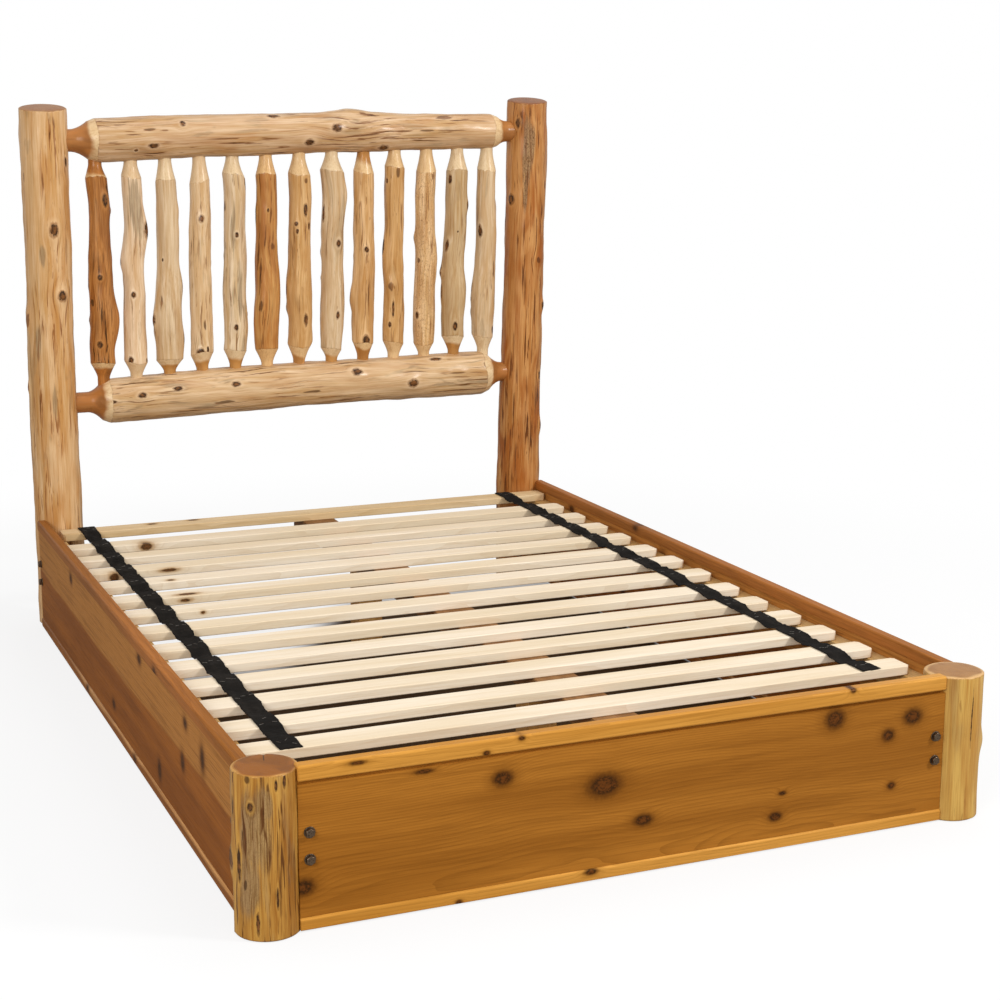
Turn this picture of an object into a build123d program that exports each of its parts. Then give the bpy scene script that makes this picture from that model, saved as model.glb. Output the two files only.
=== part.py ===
from build123d import *
import math
import os

os.makedirs("parts", exist_ok=True)

# Rustic log bed for a double mattress, in millimetres.
# +X is to the right of someone at the foot of the bed, +Y runs towards the headboard, +Z is up.
# The origin is on the floor, in the middle of the bed's outline.
# Every log is a hand-peeled pole: tapered, a little bent, and round but for the long flats that the
# drawknife leaves, so a log is a loft through many-sided sections of its own girths.

# ---- bed: driving sizes -------------------------------------------------------------------
FOOT_FACE = -1071.0      # y of the foot cap's front face
POST_LINE = 2097.0       # foot cap's front face to the axes of the head posts
INNER_WIDTH = 1407.0     # between the inner faces of the side panels
SLAT_SEAT = 244.0        # height of the ledgers and the centre beam, where the slats lie
BOARD = 19.0             # thickness of panels and slats
FRAME_STOCK = 38.0       # thickness of ledgers, beam and corner blocks
FIT = 0.3                # clearance round a tenon or beside a shoulder
LOG_SIDE_COUNT = 20      # flats round a post or a rail
SPINDLE_SIDE_COUNT = 14
BOLT_SIDE_COUNT = 12
FLOOR_GAP = 3.0          # base trims stay this far off the floor

# ---- foot posts ---------------------------------------------------------------------------
FOOT_POST_DROP = 3.0     # tops of the foot posts below the top of the foot cap
FOOT_POST_GIRTH = 57.0   # radius at the top
FOOT_POST_INSET = 15.5   # post axes inside the inner faces of the side panels
FOOT_POST_BACK = 40.0    # post axes behind the foot cap's front face
FOOT_POST_SWELL = 1.5    # extra radius at the butt and at the knot
FOOT_PANEL_SHOULDER = 45.0  # from a foot post's axis to the end of the foot panel
SIDE_FOOT_SHOULDER = 40.0   # from a foot post's axis to the foot end of the side panel

# ---- head posts ---------------------------------------------------------------------------
HEAD_POST_INSET = 41.5    # left post's axis at the floor, inside the side panel's inner face
HEAD_POST_OFFSET = 3.0    # the right post stands this much further out
HEAD_POST_HEIGHT = 1356.0  # left post
HEAD_POST_STEP = 24.0     # the right post is this much taller
HEAD_POST_GIRTH = 62.0    # radius at the floor
HEAD_POST_TIP_L = 59.5    # radius at the top
HEAD_POST_TIP_R = 56.0
HEAD_LEAN_L = -7.0        # how far outwards the top stands from the butt
HEAD_LEAN_R = 25.5
SIDE_HEAD_SHOULDER = 42.0  # from a head post's axis forward to the end of the side panel
HEAD_POST_SWELL = 1.5
POST_EASE = 4.0           # chamfer round the tops of all posts

# ---- headboard rails ----------------------------------------------------------------------
LOWER_RAIL_HEIGHT = 593.0  # rail axis at the bed's middle line
UPPER_RAIL_DROP = 85.0     # upper rail's axis below the top of the left post, at the same place
RAIL_RISE = 0.0196         # both rails climb to the right by this much for each mm
LOWER_RAIL_GIRTH_L = 57.0
LOWER_RAIL_GIRTH_R = 62.5
UPPER_RAIL_GIRTH_L = 56.0
UPPER_RAIL_GIRTH_R = 49.0
RAIL_BOW = 9.0             # the middle of a rail stands above its ends
LOWER_BARE_L = 21.5        # straight tenon that shows between a post and the flare
LOWER_BARE_R = 1.5
UPPER_BARE_L = 0.5
UPPER_BARE_R = 17.5
UPPER_TENON = 31.0         # radius
LOWER_TENON = 27.0
TENON_REACH = 22.0         # a rail's tenon ends this far past the post's axis
FLARE_L = 58.0             # length of the hollow flare from tenon to shoulder
FLARE_R = 32.0
RAIL_SPANS = 5

# ---- spindles -----------------------------------------------------------------------------
SPINDLE_MARGIN_L = 138.0   # from the left post's axis to the first spindle
SPINDLE_MARGIN_R = 103.0
SPINDLE_LEAN = 10.0        # tops stand this far to the right of the feet
SPINDLE_TENON = 20.5       # radius of the round tenons
SPINDLE_TENON_DEPTH = 38.0  # how far a tenon goes into its rail
SPINDLE_TENON_SHOW = 12.0  # bare tenon between the rail and the cone
SPINDLE_CONE = 47.0        # length of the cone from tenon to full girth
# each spindle: sideways offset, bow, and its girths as radii from the lower cone to the upper one
SPINDLES = (
    (0, 2, (33, 35, 32, 30, 28, 27)),
    (-3, -2, (31, 29, 29, 31, 27, 26)),
    (-6, -3, (38, 41, 34, 30, 29, 27)),
    (-3, -1, (31, 30, 30, 30, 29, 26)),
    (-5, 1, (31, 32, 32, 30, 29, 29)),
    (-5, 0, (31, 34, 35, 31, 29, 28)),
    (-2, -2, (28, 34, 36, 32, 32, 30)),
    (2, -1, (27, 33, 32, 30, 32, 33)),
    (-4, 2, (25, 31, 31, 30, 29, 28)),
    (0, -3, (25, 31, 29, 30, 27, 25)),
    (1, 1, (25, 30, 31, 31, 29, 28)),
    (-6, -3, (26, 34, 36, 31, 32, 31)),
    (0, 0, (26, 33, 34, 33, 30, 27)),
)

# ---- foot board and side rails ------------------------------------------------------------
FOOT_CAP_CLEAR = 2.0       # underside of the cap above the slats
FOOT_CAP_DEPTH = 26.0
FOOT_CAP_HEIGHT = 28.0
SIDE_CAP_CLEAR = 0.5
SIDE_CAP_WIDTH = 25.0
SIDE_CAP_HEIGHT = 24.0
BASE_TRIM_HEIGHT = 22.0
CAP_LIP = 3.0              # cap and base trim stand proud of the panel
TRIM_ROUND = 5.0           # rounding of the caps' and trims' long edges
BLOCK_WIDTH = 64.0         # corner blocks, along the panel
LEDGER_HEIGHT = 38.0

# ---- slats, straps and centre beam --------------------------------------------------------
SLAT_WIDTH = 61.0
SLAT_PLAY = 35.0           # the slats are this much shorter than the space between the panels
SLAT_CORNER = 7.0          # clipped corners
SLAT_HEAD_GAP = 2.5        # between the first slat and the head posts
SLAT_FOOT_GAP = 167.0      # from the foot cap's front face to the last slat
# how far each slat strays from an even spacing towards the foot, from the head end on
SLAT_STRAYS = (0, 42, 39, 36, 30, 34, 26, 27, 33, 28, 19, 13, 11, 0)
# sideways place of each slat in the same order
SLAT_SHIFTS = (12, -10, -9, -8, -7, -7, -2, -3, -10, -14, -8, -6, -8, -8)
STRAP_WIDTH = 44.5
STRAP_THICKNESS = 1.6
STRAP_INSET = 91.0         # straps' middle lines from the ends of the slats
STRAP_SHIFT = -9.0
BEAM_WIDTH = 89.0
BEAM_OFFSET = 18.0
BEAM_END_GAP = 4.0         # between the beam and the foot panel
BEAM_HEAD_STOP = 35.0      # the beam ends this far in front of the head posts' line
LEG_WIDTH = 64.0
LEG_TENON = 32.0           # side of the square tenon
LEG_TENON_LENGTH = 24.0
LEG_INSET = 517.0          # from the foot cap's front face, and from the head posts' axes

# ---- lag bolts ----------------------------------------------------------------------------
BOLT_DROPS = (31.0, 79.0)  # below the top of the corner blocks
BOLT_INSET = 19.0          # from the end of the panel
BOLT_SHANK = 4.75          # radius
BOLT_LENGTH = 50.0
BOLT_HEAD_FLATS = 14.3
BOLT_HEAD_HEIGHT = 6.4
BOLT_FIT = 0.25
WASHER_RADIUS = 10.3
WASHER_THICKNESS = 1.8

# ---- places worked out from the sizes -----------------------------------------------------
INNER = INNER_WIDTH / 2
PANEL_OUTER = INNER + BOARD
PANEL_MIDDLE = INNER + BOARD / 2
SIDE_CAP_INNER = PANEL_MIDDLE - SIDE_CAP_WIDTH / 2
SIDE_CAP_OUTER = PANEL_MIDDLE + SIDE_CAP_WIDTH / 2
LEDGER_INNER = INNER - FRAME_STOCK
HEAD_LINE = FOOT_FACE + POST_LINE
FOOT_POST_Y = FOOT_FACE + FOOT_POST_BACK
FOOT_POST_SPREAD = INNER - FOOT_POST_INSET
FOOT_PANEL_HALF = FOOT_POST_SPREAD - FOOT_PANEL_SHOULDER
HEAD_POST_SPREAD = INNER - HEAD_POST_INSET
HEAD_POST_BULGE = HEAD_POST_GIRTH + HEAD_POST_SWELL
UPPER_RAIL_HEIGHT = HEAD_POST_HEIGHT - UPPER_RAIL_DROP
FOOT_PANEL_FRONT = FOOT_FACE + CAP_LIP
FOOT_PANEL_REAR = FOOT_PANEL_FRONT + BOARD
FOOT_BLOCK_REAR = FOOT_PANEL_REAR + FRAME_STOCK
SIDE_FOOT_END = FOOT_POST_Y + SIDE_FOOT_SHOULDER
SIDE_HEAD_END = HEAD_LINE - SIDE_HEAD_SHOULDER
PANEL_BOTTOM = FLOOR_GAP + BASE_TRIM_HEIGHT
LEDGER_BOTTOM = SLAT_SEAT - LEDGER_HEIGHT
SLAT_LENGTH = INNER_WIDTH - SLAT_PLAY
SLAT_TOP = SLAT_SEAT + BOARD
SLAT_FIRST = HEAD_LINE - HEAD_POST_BULGE - SLAT_HEAD_GAP - SLAT_WIDTH
SLAT_LAST = FOOT_FACE + SLAT_FOOT_GAP
SLAT_PITCH = (SLAT_FIRST - SLAT_LAST) / (len(SLAT_STRAYS) - 1)
SIDE_CAP_BOTTOM = SLAT_TOP + SIDE_CAP_CLEAR
SIDE_CAP_TOP = SIDE_CAP_BOTTOM + SIDE_CAP_HEIGHT
FOOT_CAP_BOTTOM = SLAT_TOP + FOOT_CAP_CLEAR
FOOT_CAP_TOP = FOOT_CAP_BOTTOM + FOOT_CAP_HEIGHT
FOOT_POST_HEIGHT = FOOT_CAP_TOP - FOOT_POST_DROP
FIRST_SPINDLE = SPINDLE_MARGIN_L - HEAD_POST_SPREAD
LAST_SPINDLE = HEAD_POST_SPREAD + HEAD_POST_OFFSET - SPINDLE_MARGIN_R
SPINDLE_PITCH = (LAST_SPINDLE - FIRST_SPINDLE) / (len(SPINDLES) - 1)
FAR = 400.0                # notches are cut from this far off
BORE_REACH = 90.0          # spindle bores are cut from this far off
SIDES = (("left", -1), ("right", 1))


def save(shape, name):
    export_step(shape, f"parts/{name}.step")


def block(x, y, z):
    """A box from its ranges in X, Y and Z."""
    middle = [(low + high) / 2 for low, high in (x, y, z)]
    size = [high - low for low, high in (x, y, z)]
    return Pos(*middle) * Box(*size)


def side_range(side, near, far):
    """The range in X between two distances from the middle line on one side."""
    return (near, far) if side > 0 else (-far, -near)


def flats(count, radius):
    """A many-sided section whose corners lie on a circle."""
    return RegularPolygon(radius, count)


def prism(count, radius, length):
    """A straight many-sided bar up from the floor."""
    return extrude(flats(count, radius), length)


def pole(count, stations):
    """A log through parallel many-sided sections, each a plane and a radius, with a flat between corners."""
    rings = []
    for plane, girth in stations:
        corners = flats(count, girth).vertices()
        corners = sorted(corners, key=lambda corner: math.atan2(corner.Y, corner.X))
        rings.append([plane.from_local_coords(Vector(corner.X, corner.Y, 0)) for corner in corners])
    skin = [Face(Wire.make_polygon(rings[0])), Face(Wire.make_polygon(rings[-1]))]
    for lower, upper in zip(rings, rings[1:]):
        for corner in range(count):
            following = (corner + 1) % count
            flat = [lower[corner], lower[following], upper[following], upper[corner]]
            skin.append(Face(Wire.make_polygon(flat)))
    return Solid(Shell(skin))


# ---- posts --------------------------------------------------------------------------------
def post(foot_x, y, height, lean, girths):
    """An upright log with its girths evenly spaced from the floor to the eased top."""
    stations = []
    for step, girth in enumerate(girths):
        up = step / (len(girths) - 1)
        top = POST_EASE if up == 1 else 0
        stations.append((Plane((foot_x + lean * up, y, height * up - top)), girth))
    stations.append((Plane((foot_x + lean, y, height)), girths[-1] - POST_EASE))
    return pole(LOG_SIDE_COUNT, stations)


def head_post_foot(side):
    return side * (HEAD_POST_SPREAD + (HEAD_POST_OFFSET if side > 0 else 0))


def head_post_height(side):
    return HEAD_POST_HEIGHT + (HEAD_POST_STEP if side > 0 else 0)


def head_post_x(side, height):
    """The x of a head post's axis at a height."""
    lean = HEAD_LEAN_R if side > 0 else HEAD_LEAN_L
    return head_post_foot(side) + side * lean * height / head_post_height(side)


def side_notch(side, shoulder_y, towards):
    """What a post loses to the side panel, its cap, the ledger and the corner block."""
    reach = (shoulder_y, shoulder_y + FAR) if towards > 0 else (shoulder_y - FAR, shoulder_y)
    ledger_side = side_range(side, LEDGER_INNER - FIT, PANEL_OUTER + FAR)
    cap_side = side_range(side, SIDE_CAP_INNER - FIT, PANEL_OUTER + FAR)
    low = block(ledger_side, reach, (-FLOOR_GAP, SLAT_SEAT + FIT))
    return low + block(cap_side, reach, (SLAT_SEAT, SIDE_CAP_TOP + FIT))


def foot_notch(side):
    """What a foot post loses to the foot panel, its cap and the block behind it."""
    width = side_range(side, FOOT_PANEL_HALF - FAR, FOOT_PANEL_HALF)
    cap_rear = FOOT_FACE + FOOT_CAP_DEPTH + FIT
    high = block(width, (FOOT_FACE - FAR, cap_rear), (-FLOOR_GAP, FOOT_CAP_TOP + FIT))
    low = block(width, (FOOT_FACE - FAR, FOOT_BLOCK_REAR + FIT), (-FLOOR_GAP, LEDGER_BOTTOM + FIT))
    return low + high


class Rail:
    """A headboard rail's sizes and the places that the posts and spindles take from it."""

    def __init__(self, height, girths, tenon, bare):
        self.height = height
        self.girths = girths
        self.tenon = tenon
        self.ends = []
        for (_, side), show, flare in zip(SIDES, bare, (FLARE_L, FLARE_R)):
            post_x = head_post_x(side, height)
            shoulder = post_x - side * (HEAD_POST_BULGE + show + flare)
            self.ends.append((side, shoulder, post_x + side * TENON_REACH, flare))

    def axis(self, x):
        """The height of the rail's axis at an x, with its rise and its bow."""
        share = x / HEAD_POST_SPREAD
        return self.height + RAIL_RISE * x + RAIL_BOW * (1 - share * share)

    def girth(self, x):
        """The rail's radius at an x, tapered evenly between the head posts."""
        left, right = self.girths
        share = (x + HEAD_POST_SPREAD) / (2 * HEAD_POST_SPREAD)
        return left + (right - left) * share

    def flare(self, end):
        """Places and girths down the hollow flare, an arc that runs out into the tenon."""
        side, shoulder, _, length = end
        drop = self.girth(shoulder) - self.tenon
        radius = (length * length + drop * drop) / (2 * drop)
        steps = []
        for step in (1, 2, 3):
            ahead = length * (1 - step / 3)
            rise = radius - math.sqrt(radius * radius - ahead * ahead)
            steps.append((shoulder + side * (length - ahead), self.tenon + rise))
        return steps

    def log(self):
        """The peeled log, from the foot of one flare to the foot of the other."""
        left, right = self.ends
        places = [(x, self.axis(left[1]), girth) for x, girth in reversed(self.flare(left))]
        for step in range(RAIL_SPANS + 1):
            x = left[1] + (right[1] - left[1]) * step / RAIL_SPANS
            places.append((x, self.axis(x), self.girth(x)))
        places += [(x, self.axis(right[1]), girth) for x, girth in self.flare(right)]
        stations = [(Plane((x, HEAD_LINE, z), (0, 1, 0), (1, 0, 0)), girth) for x, z, girth in places]
        return pole(LOG_SIDE_COUNT, stations)

    def bar(self, end, radius, past=0.0):
        """A round bar from a shoulder to the tip of its tenon, or past it."""
        side, shoulder, tip, _ = end
        length = abs(tip - shoulder) + past
        place = Pos(shoulder + side * length / 2, HEAD_LINE, self.axis(shoulder))
        return place * Rot(0, 90, 0) * Cylinder(radius, length)

    def solid(self):
        shape = self.log()
        for end in self.ends:
            shape += self.bar(end, self.tenon)
        return shape

    def mortises(self):
        return [self.bar(end, self.tenon + FIT, FIT) for end in self.ends]


LOWER_RAIL = Rail(
    LOWER_RAIL_HEIGHT, (LOWER_RAIL_GIRTH_L, LOWER_RAIL_GIRTH_R), LOWER_TENON, (LOWER_BARE_L, LOWER_BARE_R)
)
UPPER_RAIL = Rail(
    UPPER_RAIL_HEIGHT, (UPPER_RAIL_GIRTH_L, UPPER_RAIL_GIRTH_R), UPPER_TENON, (UPPER_BARE_L, UPPER_BARE_R)
)

for name, side in SIDES:
    tip = HEAD_POST_TIP_R if side > 0 else HEAD_POST_TIP_L
    lean = HEAD_LEAN_R if side > 0 else HEAD_LEAN_L
    middle = (HEAD_POST_GIRTH + tip) / 2
    girths = (HEAD_POST_GIRTH, HEAD_POST_GIRTH + HEAD_POST_SWELL, middle, middle - HEAD_POST_SWELL, tip)
    head_post = post(head_post_foot(side), HEAD_LINE, head_post_height(side), side * lean, girths)
    head_post -= side_notch(side, SIDE_HEAD_END, -1)
    for rail in (LOWER_RAIL, UPPER_RAIL):
        for cutter in rail.mortises():
            head_post -= cutter
    save(head_post, f"head_post_{name}")

    girths = (
        FOOT_POST_GIRTH + FOOT_POST_SWELL,
        FOOT_POST_GIRTH,
        FOOT_POST_GIRTH + FOOT_POST_SWELL,
        FOOT_POST_GIRTH,
    )
    foot_post = post(side * FOOT_POST_SPREAD, FOOT_POST_Y, FOOT_POST_HEIGHT, 0, girths)
    foot_post -= side_notch(side, SIDE_FOOT_END, 1)
    foot_post -= foot_notch(side)
    save(foot_post, f"foot_post_{name}")


# ---- headboard spindles and rails ---------------------------------------------------------
class Spindle:
    """A pole with a coned shoulder and a round tenon at each end, and the bores that take it."""

    def __init__(self, number, offset, bow, girths):
        x = FIRST_SPINDLE + SPINDLE_PITCH * number + offset
        foot = Vector(x - SPINDLE_LEAN / 2, HEAD_LINE, LOWER_RAIL.axis(x - SPINDLE_LEAN / 2))
        head = Vector(x + SPINDLE_LEAN / 2, HEAD_LINE, UPPER_RAIL.axis(x + SPINDLE_LEAN / 2))
        self.frame = Plane(origin=foot, x_dir=(1, 0, 0), z_dir=head - foot)
        self.bow = bow
        self.girths = girths
        length = (head - foot).length
        lower = LOWER_RAIL.girth(x)
        upper = length - UPPER_RAIL.girth(x)
        self.tips = (lower - SPINDLE_TENON_DEPTH, upper + SPINDLE_TENON_DEPTH)
        self.bare = (lower + SPINDLE_TENON_SHOW, upper - SPINDLE_TENON_SHOW)
        self.cones = (self.bare[0] + SPINDLE_CONE, self.bare[1] - SPINDLE_CONE)

    def solid(self):
        """Tenon, cone, bowed body, cone and tenon in one loft."""
        start, stop = self.cones
        places = [(self.tips[0], SPINDLE_TENON, 0), (self.bare[0], SPINDLE_TENON, 0)]
        for step, girth in enumerate(self.girths):
            share = step / (len(self.girths) - 1)
            aside = self.bow * 4 * share * (1 - share)
            places.append((start + (stop - start) * share, girth, aside))
        places += [(self.bare[1], SPINDLE_TENON, 0), (self.tips[1], SPINDLE_TENON, 0)]
        stations = []
        for along, girth, aside in places:
            stations.append((self.frame.offset(along).move(Pos(aside * self.frame.x_dir)), girth))
        return pole(SPINDLE_SIDE_COUNT, stations)

    def bores(self):
        """The cutters for the two mortises, from the tips of the tenons outwards."""
        low, high = self.tips
        upward = prism(SPINDLE_SIDE_COUNT, SPINDLE_TENON + FIT, BORE_REACH)
        downward = Pos(0, 0, -BORE_REACH) * upward
        return self.frame.offset(low - FIT) * upward, self.frame.offset(high + FIT) * downward


lower_rail = LOWER_RAIL.solid()
upper_rail = UPPER_RAIL.solid()
for number, (offset, bow, girths) in enumerate(SPINDLES):
    spindle = Spindle(number, offset, bow, girths)
    lower_bore, upper_bore = spindle.bores()
    lower_rail -= lower_bore
    upper_rail -= upper_bore
    save(spindle.solid(), f"spindle_{number + 1:02d}")
save(lower_rail, "head_lower_rail")
save(upper_rail, "head_upper_rail")


# ---- lag bolts and the bores that take them -----------------------------------------------
def bolt_spots():
    """Each bolt's place on the face of its panel, and the direction that it points in."""
    spots = []
    for _, side in SIDES:
        for drop in BOLT_DROPS:
            height = LEDGER_BOTTOM - drop
            spots.append(((side * (FOOT_PANEL_HALF - BOLT_INSET), FOOT_PANEL_FRONT, height), (0, 1, 0)))
            for y in (SIDE_FOOT_END + BOLT_INSET, SIDE_HEAD_END - BOLT_INSET):
                spots.append(((side * PANEL_OUTER, y, height), (-side, 0, 0)))
    return spots


def at_bolts(piece):
    """Copies of a piece, modelled along +Z from the panel's face, one at each bolt."""
    return [Plane(origin=place, z_dir=way) * piece for place, way in bolt_spots()]


BOLT_BORES = at_bolts(prism(BOLT_SIDE_COUNT, BOLT_SHANK + BOLT_FIT, BOLT_LENGTH + BOLT_FIT))


def bored(shape):
    """A panel or block with the bolts' bores in it."""
    for bore in BOLT_BORES:
        if not shape.bounding_box().overlaps(bore.bounding_box()):
            continue
        shape -= bore
    return shape


hexagon = RegularPolygon(BOLT_HEAD_FLATS / 2, 6, major_radius=False)
bolt_head = Pos(0, 0, -WASHER_THICKNESS - BOLT_HEAD_HEIGHT) * extrude(hexagon, BOLT_HEAD_HEIGHT)
shank = Pos(0, 0, -WASHER_THICKNESS) * prism(BOLT_SIDE_COUNT, BOLT_SHANK, BOLT_LENGTH + WASHER_THICKNESS)
washer = prism(BOLT_SIDE_COUNT, WASHER_RADIUS, WASHER_THICKNESS)
washer -= prism(BOLT_SIDE_COUNT, BOLT_SHANK + BOLT_FIT, WASHER_THICKNESS)
save(Compound(children=at_bolts(bolt_head + shank)), "lag_bolts")
save(Compound(children=at_bolts(Pos(0, 0, -WASHER_THICKNESS) * washer)), "washers")


# ---- foot board ---------------------------------------------------------------------------
def eased(shape, axis, upper=True):
    """A board with rounded long edges along an axis, on its top or on its bottom."""
    edges = shape.edges().filter_by(axis).group_by(Axis.Z)
    return fillet(edges[-1] if upper else edges[0], TRIM_ROUND)


foot_width = (-FOOT_PANEL_HALF, FOOT_PANEL_HALF)
foot_cap = block(foot_width, (FOOT_FACE, FOOT_FACE + FOOT_CAP_DEPTH), (FOOT_CAP_BOTTOM, FOOT_CAP_TOP))
save(eased(foot_cap, Axis.X), "foot_cap")
foot_panel = block(foot_width, (FOOT_PANEL_FRONT, FOOT_PANEL_REAR), (PANEL_BOTTOM, FOOT_CAP_BOTTOM))
save(bored(foot_panel), "foot_panel")
foot_trim = block(foot_width, (FOOT_FACE, FOOT_PANEL_REAR), (FLOOR_GAP, PANEL_BOTTOM))
save(eased(foot_trim, Axis.X), "foot_base_trim")

# ---- side rails ---------------------------------------------------------------------------
side_length = (SIDE_FOOT_END, SIDE_HEAD_END)
for name, side in SIDES:
    across = side_range(side, INNER, PANEL_OUTER)
    save(bored(block(across, side_length, (PANEL_BOTTOM, SIDE_CAP_BOTTOM))), f"side_panel_{name}")
    cap_across = side_range(side, SIDE_CAP_INNER, SIDE_CAP_OUTER)
    side_cap = block(cap_across, side_length, (SIDE_CAP_BOTTOM, SIDE_CAP_TOP))
    save(eased(side_cap, Axis.Y), f"side_cap_{name}")
    side_trim = block(side_range(side, INNER, SIDE_CAP_OUTER), side_length, (FLOOR_GAP, PANEL_BOTTOM))
    save(eased(side_trim, Axis.Y), f"side_base_trim_{name}")
    inside = side_range(side, LEDGER_INNER, INNER)
    save(block(inside, side_length, (LEDGER_BOTTOM, SLAT_SEAT)), f"slat_ledger_{name}")
    block_height = (PANEL_BOTTOM, LEDGER_BOTTOM)
    foot_end = (SIDE_FOOT_END, SIDE_FOOT_END + BLOCK_WIDTH)
    head_end = (SIDE_HEAD_END - BLOCK_WIDTH, SIDE_HEAD_END)
    save(bored(block(inside, foot_end, block_height)), f"side_foot_block_{name}")
    save(bored(block(inside, head_end, block_height)), f"side_head_block_{name}")
    behind_panel = side_range(side, FOOT_PANEL_HALF - BLOCK_WIDTH, FOOT_PANEL_HALF)
    save(bored(block(behind_panel, (FOOT_PANEL_REAR, FOOT_BLOCK_REAR), block_height)), f"foot_block_{name}")

# ---- centre beam and its legs -------------------------------------------------------------
beam_across = (BEAM_OFFSET - BEAM_WIDTH / 2, BEAM_OFFSET + BEAM_WIDTH / 2)
beam_length = (FOOT_PANEL_REAR + BEAM_END_GAP, HEAD_LINE - BEAM_HEAD_STOP)
beam_bottom = SLAT_SEAT - FRAME_STOCK
beam = block(beam_across, beam_length, (beam_bottom, SLAT_SEAT))
upward = (Align.CENTER, Align.CENTER, Align.MIN)
for number, y in enumerate((FOOT_FACE + LEG_INSET, HEAD_LINE - LEG_INSET)):
    place = Pos(BEAM_OFFSET, y, 0)
    mortise_side = LEG_TENON + 2 * FIT
    mortise = Box(mortise_side, mortise_side, LEG_TENON_LENGTH + FIT, align=upward)
    beam -= place * Pos(0, 0, beam_bottom) * mortise
    leg = Box(LEG_WIDTH, LEG_WIDTH, beam_bottom, align=upward)
    leg += Box(LEG_TENON, LEG_TENON, beam_bottom + LEG_TENON_LENGTH, align=upward)
    save(place * leg, f"beam_leg_{number + 1}")
save(beam, "centre_beam")

# ---- slats and the straps that tie them ---------------------------------------------------
for number, (stray, shift) in enumerate(zip(SLAT_STRAYS, SLAT_SHIFTS)):
    front = SLAT_FIRST - SLAT_PITCH * number - stray
    slat = Box(SLAT_LENGTH, SLAT_WIDTH, BOARD, align=(Align.CENTER, Align.MIN, Align.MIN))
    slat = chamfer(slat.edges().filter_by(Axis.Z), SLAT_CORNER)
    save(Pos(shift, front, SLAT_SEAT) * slat, f"slat_{number + 1:02d}")
strap_length = (SLAT_LAST, SLAT_FIRST + SLAT_WIDTH)
for name, side in SIDES:
    centre = STRAP_SHIFT + side * (SLAT_LENGTH / 2 - STRAP_INSET)
    across = (centre - STRAP_WIDTH / 2, centre + STRAP_WIDTH / 2)
    save(block(across, strap_length, (SLAT_TOP, SLAT_TOP + STRAP_THICKNESS)), f"strap_{name}")
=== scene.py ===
import math
import random

import bmesh
import bpy
from mathutils import Matrix, Vector, noise


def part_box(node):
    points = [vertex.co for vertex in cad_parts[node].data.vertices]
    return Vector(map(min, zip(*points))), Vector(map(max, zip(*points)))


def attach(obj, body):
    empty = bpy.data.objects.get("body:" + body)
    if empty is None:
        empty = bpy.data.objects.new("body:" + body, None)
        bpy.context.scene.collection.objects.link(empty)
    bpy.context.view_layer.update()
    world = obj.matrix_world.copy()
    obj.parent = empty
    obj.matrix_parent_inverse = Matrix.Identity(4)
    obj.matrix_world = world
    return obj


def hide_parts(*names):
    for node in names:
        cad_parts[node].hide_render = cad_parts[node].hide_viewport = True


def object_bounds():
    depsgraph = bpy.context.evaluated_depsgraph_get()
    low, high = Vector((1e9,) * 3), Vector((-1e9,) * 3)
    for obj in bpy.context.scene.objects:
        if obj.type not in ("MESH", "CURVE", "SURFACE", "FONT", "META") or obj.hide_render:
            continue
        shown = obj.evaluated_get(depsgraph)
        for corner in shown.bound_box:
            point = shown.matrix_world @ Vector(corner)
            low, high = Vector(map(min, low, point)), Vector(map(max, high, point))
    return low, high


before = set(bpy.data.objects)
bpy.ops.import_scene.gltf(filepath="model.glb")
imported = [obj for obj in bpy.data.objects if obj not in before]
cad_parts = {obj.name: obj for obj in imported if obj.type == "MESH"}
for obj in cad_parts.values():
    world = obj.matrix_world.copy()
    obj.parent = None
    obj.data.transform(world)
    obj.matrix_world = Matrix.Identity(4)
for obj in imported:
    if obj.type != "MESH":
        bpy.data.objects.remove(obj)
CAD_LOW, CAD_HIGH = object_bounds()

# Looks for a rustic log bed. Metres, in the frame's own axes: +X to the right of someone at the
# foot of the bed, +Y towards the headboard, +Z up. Numbers in the tables of logs are millimetres
# and degrees, because that is how a log is measured.
MM = 0.001
HEAD_Y = 1.026
FOOT_Y = -1.031
FOOT_SPREAD = 0.688
TURN = 2 * math.pi
ACROSS = Vector((1, 0, 0))


# ---- shader arithmetic --------------------------------------------------------------------
class Wire:
    """A node's output in plain arithmetic: each operation adds its Math node."""

    def __init__(self, finish, socket):
        self.finish = finish
        self.socket = socket

    def math(self, operation, *values):
        return self.finish.node("ShaderNodeMath", (self, *values), operation=operation)

    def turned(self, operation, value):
        return self.finish.node("ShaderNodeMath", (value, self), operation=operation)

    def __add__(self, other):
        return self.math("ADD", other)

    def __radd__(self, other):
        return self.turned("ADD", other)

    def __sub__(self, other):
        return self.math("SUBTRACT", other)

    def __rsub__(self, other):
        return self.turned("SUBTRACT", other)

    def __mul__(self, other):
        return self.math("MULTIPLY", other)

    def __rmul__(self, other):
        return self.turned("MULTIPLY", other)

    def __truediv__(self, other):
        return self.math("DIVIDE", other)

    def __pow__(self, other):
        return self.math("POWER", other)


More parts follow.
